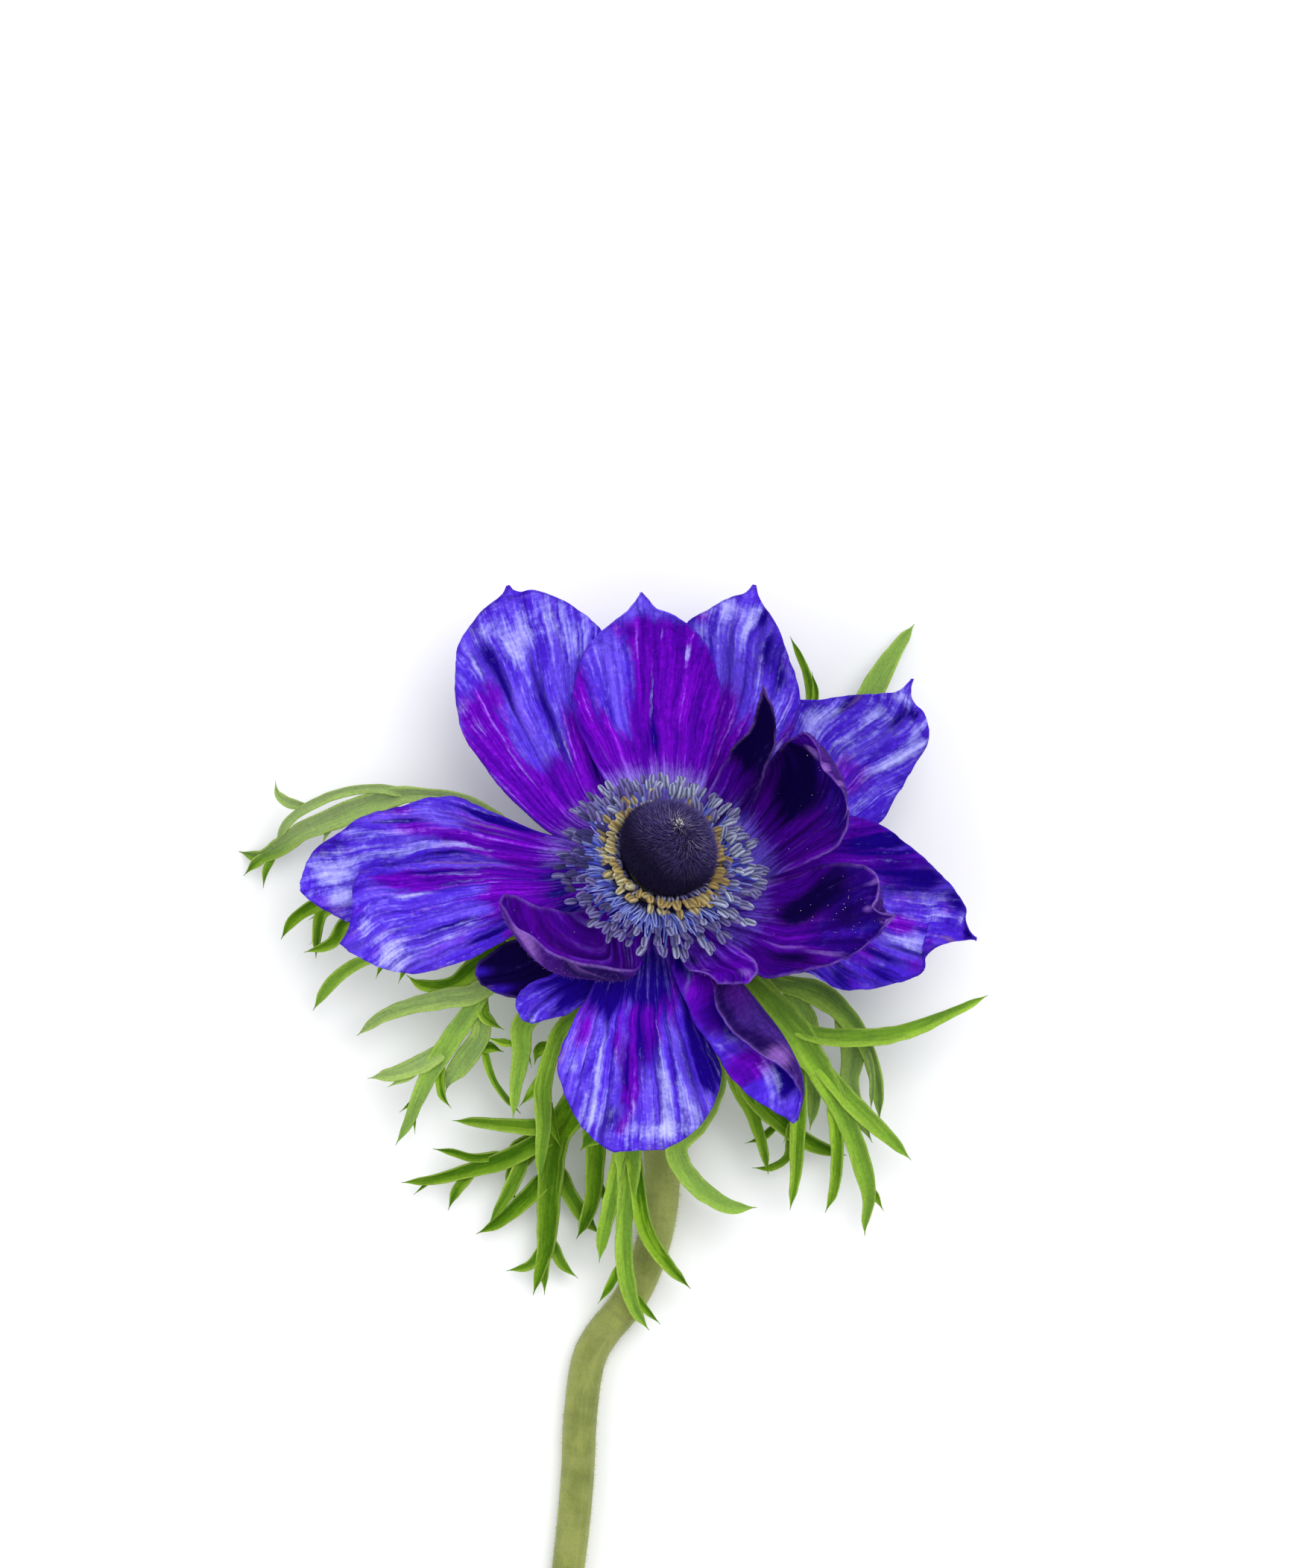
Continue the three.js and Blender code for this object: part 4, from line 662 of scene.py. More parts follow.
             indigo_and_shade=[(26, 22.9, 5, 0.6, 0.8), (33, 20.5, 3, 0.8, 0.6), (27.3, 20, 2, 0.9, 0.6),
                    (30, 15.2, 4, 0.6, 0.5), (23, 17, 3, 0.9, 0.4), (35.6, 21.3, 1.6, 0.9, 0.6),
                    (34.5, 11.8, 3, 0.7, 0.4)],
             plum=[(27, 11.5, 4, 2.6, 0.7), (25, 14, 3, 1.4, 0.4)],
             lilac=[(27.5, 24, 7, 0.4, 0.8)])),
    dict(name="petal_07_right", angle=-12, level=-2.6, wide=(14, -40), dip=2,
         left=[(13, 1.2, 16.6), (19, 4.6, 17), (25.8, 6.3, 18.8), (30.2, 5, 19.2), (35, 1.6, 19.4),
               (38.5, -1.5, 19.5), (41.6, -5.2, 19.6), (43.2, -7.7, 19.8), (43.2, -9.4, 20),
               (43.9, -10.9, 20.1), (44.8, -12, 20.2)],
         right=[(10.6, -14, 24.9), (16, -16.2, 25), (20.3, -17.4, 25.2), (24, -19.2, 24.6),
                (29, -19.5, 23.4), (33.5, -18.7, 22.4), (36.5, -17, 21.8), (37, -14.9, 21.3),
                (38.4, -13.6, 21), (40.6, -12.8, 20.7), (43, -12.5, 20.4), (44.7, -12.4, 20.2)],
         bright=0.3, plum=0.25, indigo_and_shade=0.3, pale=0.12,
         patches=dict(
             plum=[(28, 3.3, 4, 3.5, 0.4), (32, -2, 5, 2.6, 0.7), (25, 1, 4, 2, 0.7), (33, -10, 3, 1.2, 0.4),
                   (28, -15.5, 3, 2, 0.3), (29.5, 4.3, 3, 1, 0.4)],
             indigo_and_shade=[(27, 2.5, 5, 3, 0.4), (33, 0.6, 6, 4, 0.7), (38, -2.2, 3, 1.3, 0.6),
                    (31, -17.5, 4, 1.4, 0.7), (24.5, -17.8, 3, 1.4, 0.9), (42, -7, 2, 0.8, 0.5),
                    (43.6, -11.2, 1.2, 1.2, 1), (37, -11, 4, 0.5, 0.7), (30, -14.6, 4, 0.5, 0.4),
                    (30, -5.5, 3, 0.6, 0.4)],
             pale=[(38, -6.3, 4.5, 1.0, 0.4), (39, -8.9, 3.6, 0.6, 0.6), (36, -13, 2.6, 1.2, 0.65),
                   (27.8, 1.6, 1.4, 0.5, 0.25), (31, 1.3, 1.8, 0.5, 0.2), (42.6, -9.3, 1, 0.9, 0.7),
                   (33, -12.2, 3.6, 0.8, 0.35)],
             bright=[(36, -4.6, 4, 1.6, 0.5), (33, -13, 5, 1.5, 0.5), (33, -6.5, 3, 1, 0.4)],
             lilac=[(38.2, -1.4, 6, 0.4, 0.5), (41, -12.7, 3, 0.5, 0.8)])),
    dict(name="petal_08_inner_lower_right", angle=-31, level=-1.5, wide=(-14, -46), dip=3, dark=True,
         left=[(14, -4.2, 21.3), (17, -3.1, 22.6), (20, -2, 24.6), (23, -1, 27.6), (26, -0.8, 31),
               (28.8, -1.8, 34), (30.2, -3.8, 35.8), (30, -6, 36.5), (29.3, -7.1, 36.8), (30.1, -8, 37),
               (32.6, -8.6, 37.6)],
         right=[(9, -14.6, 28.4), (12.5, -17.6, 30.6), (17.5, -17.3, 32.4), (21, -16.5, 34),
                (24.5, -15.5, 35.2), (27.5, -13.8, 36.2), (30, -11.8, 37), (32.6, -8.9, 37.6)],
         bright=0.05, plum=0.3, indigo_and_shade=0.4, pale=0, glow=0.45,
         patches=dict(
             indigo_and_shade=[(22, -5, 6, 2.6, 0.6), (26, -8.5, 3, 1.5, 0.4), (18.5, -9, 3, 2, 0.4),
                    (18, -15, 5, 1.6, 0.4)],
             plum=[(15, -10.5, 4, 4, 0.8), (18, -15.3, 6, 1.4, 0.9), (21, -2.8, 4, 1, 0.5)],
             bright=[(23, -5, 1.3, 1, 0.7), (25, -11.4, 5, 0.8, 0.7), (30, -10, 3, 1, 0.6),
                     (25.8, -2, 0.8, 0.8, 0.5)],
             # Painted sheen: the first lilac patch is a faint grey sheen near the upper right.
             lilac=[(27, -4, 3, 1.4, 0.2), (30, -3.5, 2.5, 0.4, 0.8), (28.7, -7.5, 1.4, 0.5, 0.7),
                    (22.5, -14.5, 6, 0.45, 0.8), (31.6, -9.6, 2, 0.45, 0.7), (14.5, -13, 4, 0.45, 0.5),
                    (18, -13.6, 3, 0.35, 0.4)])),
    dict(name="petal_09_inner_small", angle=-64, level=-0.4, wide=(-48, -80), dip=1, dark=True,
         left=[(9, -13.3, 28.8), (11.6, -15.4, 31.2), (12.4, -17, 32.6), (10.8, -18.8, 33.4)],
         right=[(0.9, -14, 30.6), (1.9, -16.4, 32.2), (4.4, -17.2, 33.2), (6.4, -18.9, 33.6)],
         bright=0.1, plum=0.7, indigo_and_shade=0.1, pale=0, glow=0.3,
         patches=dict(
             lilac=[(4.6, -17, 0.9, 0.6, 1.1), (10.6, -17.3, 1.6, 1.2, 0.7), (7.5, -18.8, 1.6, 0.5, 0.6),
                    (11.8, -15.7, 1, 0.5, 0.5)],
             indigo_and_shade=[(2.6, -15.6, 1.5, 1.2, 0.6), (6.5, -15, 1.5, 1, 0.3)])),
    dict(name="petal_10_folded", angle=-62, level=-2.5, wide=(-52, -81), dip=0, folded=True,
         left=[(5.2, -17, 29.6), (6, -21.5, 32), (7.8, -25.5, 32.8), (12, -28.8, 32.2), (16, -31.6, 30.6),
               (18.6, -35, 28.6), (18.4, -38.8, 27.2)],
         keel=[(8.2, -17.6, 28), (11.5, -21.4, 27.8), (15, -26, 27.6), (17.1, -30, 27.6),
               (18.3, -33.4, 27.4), (18.5, -36.2, 27.1), (18.1, -39.1, 26.8)],
         right=[(-0.2, -17.2, 29.9), (1.8, -22, 30.2), (4, -26, 30.2), (6.5, -29.8, 29.8), (9, -33.2, 29),
                (12, -36, 28.2), (15, -38, 27.4), (17.8, -39.5, 26.8)],
         bright=0.45, plum=0.2, indigo_and_shade=0.2, pale=0.05, glow=0.2,
         patches=dict(
             bright=[(3, -21.5, 4, 1.2, 0.5), (7.5, -27, 3, 1.5, 0.5)],
             plum=[(10.8, -31.5, 2.4, 1.2, 0.8), (5.5, -23, 3, 0.7, 0.4)],
             # Painted shade: the narrow dark patches make the band along the fold, where the curled margin
             # shades the inner face.
             indigo_and_shade=[(12.5, -28.5, 6, 0.7, 1), (16.8, -33, 2.4, 1.1, 1), (6.2, -22.5, 4, 0.6, 0.8),
                    (5, -24, 6, 2.4, 0.5), (10, -23.4, 4.5, 2.6, 0.5), (14.8, -30.6, 2, 0.9, 0.5)],
             pale=[(15, -34.2, 4, 0.8, 0.3), (13.5, -32.4, 2, 0.5, 0.3), (7, -27, 3, 0.7, 0.5),
                   (16.8, -37, 1.5, 0.7, 0.2)],
             lilac=[(15.6, -29.6, 2.8, 1.4, 0.8), (13.2, -26.8, 2, 0.8, 0.3), (17.4, -31.4, 2, 0.7, 0.6)])),
    dict(name="petal_11_bottom", angle=-98, level=-3.5, wide=(-78, -118), dip=-1.2,
         left=[(0.6, -17, 27.4), (3, -23, 27.4), (5.5, -28, 26.8), (7, -31.5, 26.2), (7, -34, 25.8),
               (5.8, -37, 25.4), (3.5, -40.3, 25), (1, -42.2, 24.8), (-1.6, -43.5, 24.6)],
         right=[(-11, -17, 27.8), (-14.5, -23.5, 27.2), (-16.8, -28, 26.6), (-17.2, -31.4, 26.2),
                (-15.8, -36, 25.6), (-14, -40, 25), (-11.5, -42.5, 24.8), (-8.8, -43.7, 24.6)],
         bright=0.5, plum=0.08, indigo_and_shade=0.25, pale=0.22, glow=0.2, heart=0.35,
         patches=dict(
             plum=[(-4.5, -25, 6, 2.4, 0.95), (-6.6, -34, 5, 1.4, 0.85), (-8, -40, 2, 1, 0.6),
                   (-14.3, -26.5, 3, 1.3, 0.4), (-3, -19.5, 2.5, 3, 0.7), (-8.5, -27, 3, 0.8, 0.3)],
             # Painted shade: the first two dark patches, by the claw, are where the stamens shade this
             # petal.
             indigo_and_shade=[(-10, -20, 4, 4.5, 1.1), (-4, -19, 3.4, 6, 1.1), (-5, -27, 6, 2.2, 0.9),
                    (4, -29, 6, 2.8, 1.2), (2.2, -23.5, 4, 1.1, 0.9), (-7, -33, 4, 0.6, 0.6),
                    (1.4, -20.5, 3, 0.7, 0.6), (-9, -38.5, 2.5, 0.8, 0.6), (5, -33, 2.4, 1.6, 0.6)],
             pale=[(-11.2, -31.5, 7, 0.7, 0.8), (-1, -34.5, 7, 0.9, 0.75), (-12, -38.3, 2.5, 2, 0.5),
                   (-2, -40.6, 2.4, 4.5, 0.8), (1.4, -35.5, 3, 0.9, 0.6), (-15.5, -31, 1.8, 0.7, 0.5),
                   (3.4, -38, 2, 1, 0.5), (-8.8, -29.5, 2.5, 0.5, 0.45), (-6, -37, 1.5, 0.7, 0.3),
                   (-10, -35, 2, 0.5, 0.4)],
             bright=[(-12, -25, 5, 2.6, 0.5), (-1, -25, 6, 1, 0.8), (3, -36.5, 3, 1.6, 0.5),
                     (-3.5, -33, 4, 1, 0.4)],
             lilac=[(-16.9, -30, 4, 0.4, 0.8), (5.9, -34, 2.6, 0.7, 0.4)])),
    dict(name="petal_12_navy_left", angle=213, level=-5.6, wide=(230, 199), dip=1, dark=True,
         left=[(-14, -16.2, 24.2), (-19, -20.2, 23.2), (-23.5, -20.9, 22.6), (-26.5, -20.1, 21.9),
               (-28.7, -18.8, 21.4)],
         right=[(-18, -9.5, 22.8), (-23, -11.8, 22), (-27, -14, 21.4), (-29.2, -15.7, 21),
                (-29.6, -17.5, 21)],
         bright=0.05, plum=0, indigo_and_shade=1.1, pale=0, heart=0, glow=0, rim=0.35,
         patches=dict(
             # Painted highlights: the first two bright patches, where the dark is cleared, are light along
             # the edge by the tip.
             bright=[(-29, -17, 2.6, 0.7, 0.9), (-26, -19.6, 3, 0.7, 0.9), (-20, -17.5, 3, 2, 0.4)],
             indigo_and_shade=[(-29, -17, 2.6, 0.9, -0.7), (-26, -19.7, 3, 0.8, -0.7)],
             lilac=[(-27.5, -19.3, 2, 0.35, 0.5)])),
    dict(name="petal_12b_navy_lower", angle=240, level=-4.5, wide=(251, 229), dip=0.8,
         left=[(-10.5, -19, 26), (-15, -22.8, 25), (-18.5, -23.9, 24.6), (-21.2, -24.7, 24.3)],
         right=[(-15.8, -15.8, 26.8), (-20.8, -18.4, 26), (-23.4, -20.6, 25.2), (-23.5, -22.4, 24.8),
                (-22.5, -24.3, 24.4)],
         bright=0.2, plum=0, indigo_and_shade=0.35, pale=0.1, heart=0, glow=0,
         patches=dict(
             indigo_and_shade=[(-14, -18.5, 5, 5, 0.9)],
             bright=[(-20, -22.3, 3, 1.8, 0.5), (-17, -21, 3, 1, 0.4)],
             pale=[(-19.8, -23.2, 2.4, 1, 0.4), (-21.6, -24, 1, 0.9, 0.6), (-17.5, -21.6, 2.4, 0.5, 0.4)])),
    dict(name="petal_13_inner_boat", angle=234, level=-0.6, wide=(256, 214), dip=0, dark=True,
         left=[(-5.4, -16.4, 33.4), (-10, -16.3, 34.8), (-15.5, -15.3, 35.4), (-18.5, -14.1, 35.6),
               (-21, -12, 35.8), (-23.5, -10.4, 36), (-25.2, -7.6, 36)],
         keel=[(-8.6, -16.7, 30.8), (-12, -17.3, 30.4), (-15.6, -17.1, 30), (-18.7, -16.2, 29.8),
               (-21.1, -14.4, 30), (-23.2, -11.8, 30.8), (-25, -8.8, 32.6), (-25.8, -6.6, 34.6)],
         right=[(-15.5, -8.3, 28.4), (-18, -7.8, 29.3), (-21, -6.9, 31), (-23.5, -6, 33), (-25.2, -5.6, 35)],
         bright=0.1, plum=0.5, indigo_and_shade=0.25, pale=0, glow=0.2,
         patches=dict(
             indigo_and_shade=[(-18, -12.5, 5, 1, 0.4), (-10, -16.8, 5, 1.4, 1), (-14, -17.2, 4, 0.8, 0.6),
                    (-23.5, -9, 2, 1.4, 0.3)],
             bright=[(-15, -11.5, 3, 0.8, 0.5)],
             lilac=[(-15, -15.4, 8, 0.4, 0.6), (-22.5, -11.3, 3, 0.5, 0.9), (-24.8, -7, 2, 1.2, 0.4),
                    (-20.5, -14.3, 3, 1.2, 0.35)])),
    dict(name="petal_14_left_front", angle=191, level=-2.1, wide=(211, 172), dip=1.2,
         left=[(-18, -9.7, 25.8), (-25, -12.2, 24.6), (-31, -15.5, 23.6), (-35, -16.8, 23.2),
               (-39, -17.3, 22.8), (-43, -16.6, 22.4), (-46, -15.3, 22.2), (-48.4, -13.9, 22)],
         right=[(-20, -1.6, 23.6), (-25, -1, 24.4), (-30, -0.5, 25), (-36, -0.8, 25.4), (-42, -1.5, 25),
                (-46, -1.8, 24.2), (-47.5, -3.6, 23.4), (-47.8, -7.4, 22.8), (-48.5, -11, 22.3),
                (-49.6, -12.9, 22)],
         bright=0.45, plum=0.2, indigo_and_shade=0.25, pale=0.15, glow=0.2,
         patches=dict(
             plum=[(-33, -3.2, 8, 2, 0.95), (-24, -3, 5, 2, 0.7), (-40, -3, 3, 1, 0.6),
                   (-27, -6, 4, 1.4, 0.4), (-22, -6, 4, 4, 0.8)],
             # Painted shadow: the dark patches at (-27, -11.5) and (-25, -9.5) are where the boat-shaped
             # inner petal shades this one.
             indigo_and_shade=[(-38, -2.4, 5, 0.6, 0.7), (-34, -2.6, 7, 1.2, 0.1), (-33, -3.6, 4, 1, 0.4),
                    (-33, -10, 7, 0.45, 0.9), (-35, -7.5, 7, 0.4, 0.5), (-27, -11.5, 4, 1.1, 0.8),
                    (-25, -9.5, 3, 1, 0.7), (-41, -10.6, 4, 0.4, 0.5)],
             bright=[(-42, -5, 4, 2.2, 0.5), (-30, -8, 6, 1.2, 0.4), (-35, -13, 6, 1.8, 0.5),
                     (-44, -8, 3, 2, 0.4)],
             pale=[(-39.5, -6, 3, 0.6, 0.9), (-46, -10, 2.4, 1.6, 0.8), (-42, -14.8, 3.6, 2.2, 1.1),
                   (-33, -11.6, 3, 0.7, 0.6), (-44, -12.3, 2.6, 0.6, 0.5), (-30, -9.7, 2, 0.5, 0.35),
                   (-37, -13.3, 3, 0.6, 0.5), (-45.5, -7.4, 1.2, 0.6, 0.4)],
             lilac=[(-32, -0.9, 9, 0.45, 0.9), (-38, -2.6, 2.4, 0.4, 0.5), (-46.3, -2.3, 1.6, 0.6, 0.6),
                    (-24, -1.6, 5, 0.5, 0.4)])),
    dict(name="petal_15_left_back", angle=166, level=-3.5, wide=(184, 150), dip=1.3,
         left=[(-20, -5.5, 22), (-27, -7.5, 20.8), (-34, -9, 20), (-41, -10, 19.5), (-48, -9.8, 19.1),
               (-51.5, -8, 19), (-54.3, -6.1, 18.9), (-55.5, -5, 18.9)],
         right=[(-15.8, 2.7, 20.9), (-20, 3.7, 21.1), (-25.5, 6, 21.8), (-31.5, 8.6, 22.2), (-36, 8.7, 22.4),
                (-41.5, 7.4, 22), (-46, 6.2, 21.4), (-50.5, 3, 20.4), (-53.9, 0.2, 19.6), (-55.5, -3.9, 19)],
         bright=0.45, plum=0.15, indigo_and_shade=0.25, pale=0.22, glow=0.42,
         patches=dict(
             plum=[(-27, 1, 6, 1.4, 1), (-25, 3, 5, 2, 0.6), (-38, 4.5, 4, 1.2, 0.7), (-33, 3.2, 5, 1, 0.4),
                   (-22, 4, 4, 2, 0.5), (-40, 7.3, 2, 1, 0.4)],
             indigo_and_shade=[(-40, 5.6, 3, 1, 0.6), (-34, 0.9, 5, 0.5, 0.8), (-50, 2, 3, 1.1, 0.6),
                    (-28, 6.4, 6, 0.9, 0.7), (-25, 4.6, 4, 0.8, 0.5), (-53, 1, 2, 1, 0.5),
                    (-44, 5, 2, 0.8, 0.3)],
             pale=[(-45, 3, 6, 0.9, 0.5), (-50, -2, 3.6, 1.2, 0.8), (-44, 0.4, 8, 0.6, 0.7),
                   (-32, 2, 2.6, 0.5, 0.7), (-37, 2.1, 3, 0.5, 0.5), (-49, -5.5, 3, 2.2, 0.8),
                   (-52, -3.5, 2, 0.9, 0.5), (-48, 4.3, 1.8, 0.9, 0.5), (-53.5, -1, 1.5, 0.6, 0.5)],
             bright=[(-37, 7, 4, 1.3, 0.7), (-33, 5.6, 5, 0.9, 0.5), (-31, 1.6, 5, 0.8, 0.3),
                     (-44, 6, 3, 1, 0.4)],
             lilac=[(-28, 4.7, 7, 0.4, 0.8), (-26, 3.4, 6, 0.35, 0.6), (-50, -8, 3, 1.3, 0.6),
                    (-35, 5, 4, 0.35, 0.4)])),
]
print("petals:", len(PETALS))

# %% [markdown]
# The blade of a petal is the surface between its two edges, bent through the middle line by a
# parabola across. Small hills are then added: lengthwise pleats over the veins, a slow waviness, and
# a stronger flutter near the rim. Near the claw all of them fade out, because the claws lie close
# together there. The blade is thickest in the middle and fine at the rim, and the rim itself has
# small bays and points.

# %% Shape one petal
CLAW_RADIUS = 5.05
CLAW_HALF_ANGLE = 18
SHOULDER_RADIUS = 11.0
SHOULDER_RISE = 0.2
DIP_START = 1.9
PETAL_ROWS = 102
PETAL_COLS = 61
ROWS_TO_TIP = 1.3
PETAL_MIDDLE = 0.55
PETAL_RIM = 0.26
RIM_WIDE = 3.0
RIM_BAY = 0.2
RIM_NOTCH = 0.1
RIM_SEED = 5
PETAL_SEED = 100
PLEAT = 0.1
FINE_PLEAT = 0.06
SLOW_WAVE = 0.36
SMALL_WAVE = 0.2
FLUTTER = 0.6
MIDLINE = 0.22
DARK_CALM = 0.45


def petal_edge(spec, turn, shoulder, points):
    start = around(spec["angle"] + turn, CLAW_RADIUS, spec["level"])
    bend = around(shoulder, SHOULDER_RADIUS, spec["level"] + SHOULDER_RISE)
    return smooth_curve([start, bend] + [point(p) for p in points])


def rim_jitter(along, seed):
    """Small bays and points of a rim, in millimetres out from its smooth line."""
    seed = np.full(along.shape, seed)
    bays = RIM_BAY * rolling(along / 3.1, seed, RIM_SEED)
    return bays + RIM_NOTCH * rolling(along / 0.9, seed, RIM_SEED + 1)


def petal_surface(spec, rows, cols):
    """The grid of a petal's middle surface, its shares along and across, and its length."""
    u = 1 - (1 - np.linspace(0, 1, rows)) ** ROWS_TO_TIP
    v = np.linspace(0, 1, cols)
    left_curve = petal_edge(spec, CLAW_HALF_ANGLE, spec["wide"][0], spec["left"])
    right_curve = petal_edge(spec, -CLAW_HALF_ANGLE, spec["wide"][1], spec["right"])
    left = read_curve(left_curve, u)
    right = read_curve(right_curve, u)
    open_part = (smooth_step(u, 0.3, 0.45) * smooth_step(1 - u, 0, 0.04))[:, None]
    outward = unit(left - right + 1e-6) * open_part
    left = left + outward * rim_jitter(u * left_curve[2], 7.0)[:, None]
    right = right - outward * rim_jitter(u * right_curve[2], 31.0)[:, None]
    if "keel" in spec:
        middle = read_curve(petal_edge(spec, 0, sum(spec["wide"]) / 2, spec["keel"]), u)
    else:
        ahead = unit(np.gradient(left, axis=0)) + unit(np.gradient(right, axis=0))
        sink = spec["dip"] * np.sin(np.pi * u ** DIP_START)
        middle = (left + right) / 2 - unit(np.cross(right - left, ahead)) * sink[:, None]
    shares = ((1 - v) * (1 - 2 * v), 4 * v * (1 - v), v * (2 * v - 1))
    grid = sum(line[:, None] * share[:, None] for line, share in zip((left, middle, right), shares))
    length = (left_curve[2] + right_curve[2]) / 2
    return grid, *np.meshgrid(u, 2 * v - 1, indexing="ij"), length


def petal_lines(grid, v):
    """A coordinate across the petal, in millimetres at its widest place. Lines of it fan out from the
    heart of the flower to every part of the rim, as the veins do."""
    half = np.linalg.norm(grid[:, -1] - grid[:, 0], axis=1)[:, None] / 2
    middle = grid[:, grid.shape[1] // 2]
    steps = np.linalg.norm(np.diff(middle, axis=0), axis=1)
    from_heart = CLAW_RADIUS + np.concatenate([[0], np.cumsum(steps)])[:, None]
    widest = np.argmax(half)
    return v * np.maximum(half, 0.5) * from_heart[widest] / from_heart


def hilly_petal(spec, number):
    """A petal's smooth grid with its shares and length, the grid with its hills, and its normals."""
    grid, u, v, length = petal_surface(spec, PETAL_ROWS, PETAL_COLS)
    normal = surface_normal(grid)
    lines = petal_lines(grid, v)
    seed = PETAL_SEED + 10 * number
    hills = PLEAT * rolling(lines / 1.4 + 30, u * 3, seed)
    hills += FINE_PLEAT * rolling(lines / 0.7 + 40, u * 5, seed + 1)
    waves = SLOW_WAVE * rolling(lines / 6 + 9, u * 3.5 + 5, seed + 2)
    waves += SMALL_WAVE * rolling(lines / 2.6 + 19, u * 2.2 + 5, seed + 4)
    waves += FLUTTER * np.abs(v) ** 3 * rolling(v * 1.5 + 3, u * 9 + 7, seed + 3)
    hills += waves * (DARK_CALM if spec.get("dark") else 1) - MIDLINE * np.exp(-(v / 0.06) ** 2)
    hills *= smooth_step(u, 0.22, 0.5)
    return grid, u, v, length, grid + normal * hills[..., None], normal


print("a petal has", PETAL_ROWS, "rows of", PETAL_COLS, "points on each face")

# %% [markdown]
# The washes are masks on the same points. A patch is told by its place as seen from above, so it is
# first looked for on the petal. It then spreads from there along the petal's own lines. Under the
# stamens the plum is stronger and the pale strokes are missing. On the lower side of the ring a
# painted shade of the stamens is added to the dark indigo, so the petals are darker there.

# %% Paint and make the petals
WASHES = ("bright", "plum", "indigo_and_shade", "pale", "lilac")
HEART_PLUM = 0.75
HEART_GLOW = 0.68
GLOW_NEAR = 15.2
GLOW_FAR = 20.8
SHADE_RADIUS = 14
SHADE_WIDE = 2.5
LIT_WAY = 0.5 * ACROSS + 0.866 * UPWARD
HIGHER_FIRST = 0.02
RIM_LINE = (0.1, 0.55)


def petal_washes(spec, grid, across, along, from_heart):
    """Masks for the petal's paint: even base amounts, and soft patches that lie along the grain."""
    nearer = (EYE_HEIGHT - HEAD[2]) / (EYE_HEIGHT - grid[..., 2:])
    seen = EYE + (grid[..., :2] - EYE) * nearer
    washes = {name: np.full(across.shape, float(spec.get(name, 0))) for name in WASHES}
    washes["plum"] += spec.get("heart", HEART_PLUM) * (1 - smooth_step(from_heart, 17, 27))
    washes["bright"] *= smooth_step(from_heart, 14, 24)
    for wash, patches in spec["patches"].items():
        for x, y, long, wide, strength in patches:
            away = np.hypot(seen[..., 0] - x, seen[..., 1] - y) - HIGHER_FIRST * grid[..., 2]
            at = np.unravel_index(np.argmin(away), away.shape)
            spread = ((along - along[at]) / long) ** 2 + ((across - across[at]) / wide) ** 2
            washes[wash] += strength * np.exp(-spread)
    washes = {name: np.clip(value, 0, 1.2) for name, value in washes.items()}
    washes["pale"] -= 0.6 * (1 - smooth_step(from_heart, 15, 27))
    return washes


def make_petal(spec, number):
    smooth, u, v, length, grid, _ = hilly_petal(spec, number)
    dark = spec.get("dark")
    lines = petal_lines(smooth, v)
    steps = np.linalg.norm(np.diff(smooth, axis=1), axis=-1)
    from_left = np.pad(np.cumsum(steps, axis=1), ((0, 0), (1, 0)))
    to_rim = np.minimum(np.minimum(from_left, from_left[:, -1:] - from_left), (1 - u) * length)
    thick = PETAL_RIM + (PETAL_MIDDLE - PETAL_RIM) * smooth_step(to_rim, 0, RIM_WIDE)
    from_axis = grid - HEAD
    from_axis = from_axis - (from_axis @ FACE)[..., None] * FACE
    radius = np.linalg.norm(from_axis, axis=-1)
    masks = petal_washes(spec, smooth, lines, u * length, radius)
    masks["glow"] = spec.get("glow", HEART_GLOW) * (1 - smooth_step(radius, GLOW_NEAR, GLOW_FAR))
    masks["rim"] = spec.get("rim", 1) * (1 - smooth_step(to_rim, *RIM_LINE))
    # Painted shade: the stamens' shadow, laid as dark indigo on the petals on the lower side of the ring.
    shaded = np.maximum(-(from_axis @ LIT_WAY) / radius, 0)
    shaded = shaded * np.exp(-((radius - SHADE_RADIUS) / SHADE_WIDE) ** 2)
    masks["indigo_and_shade"] += shaded * (0.3 if dark else 1.0)
    masks["grain"] = np.stack([lines + 60 * number, u * length, 0 * u + number], -1)
    vertices, faces, under = thin_blade(grid, thick)
    finishes = [velvet if dark else satin, lilac_back if dark or spec.get("folded") else satin_back]
    make_piece(spec["name"] + "_blade", vertices, faces, finishes, for_both_faces(masks),
               [spec["name"]], under)


for number, spec in enumerate(PETALS):
    make_petal(spec, number)
print("triangles so far:", triangles)

# %% [markdown]
# ## Leaves
# The ruff below the flower is three leaves cut into many narrow lobes, each folded along its midrib
# into a shallow groove that catches the light on one side, with painted light and shade on its two
# halves. A lobe is a row of places on its midrib with its width at each. It starts inside the lobe
# that carries it, so no gap shows where they part.

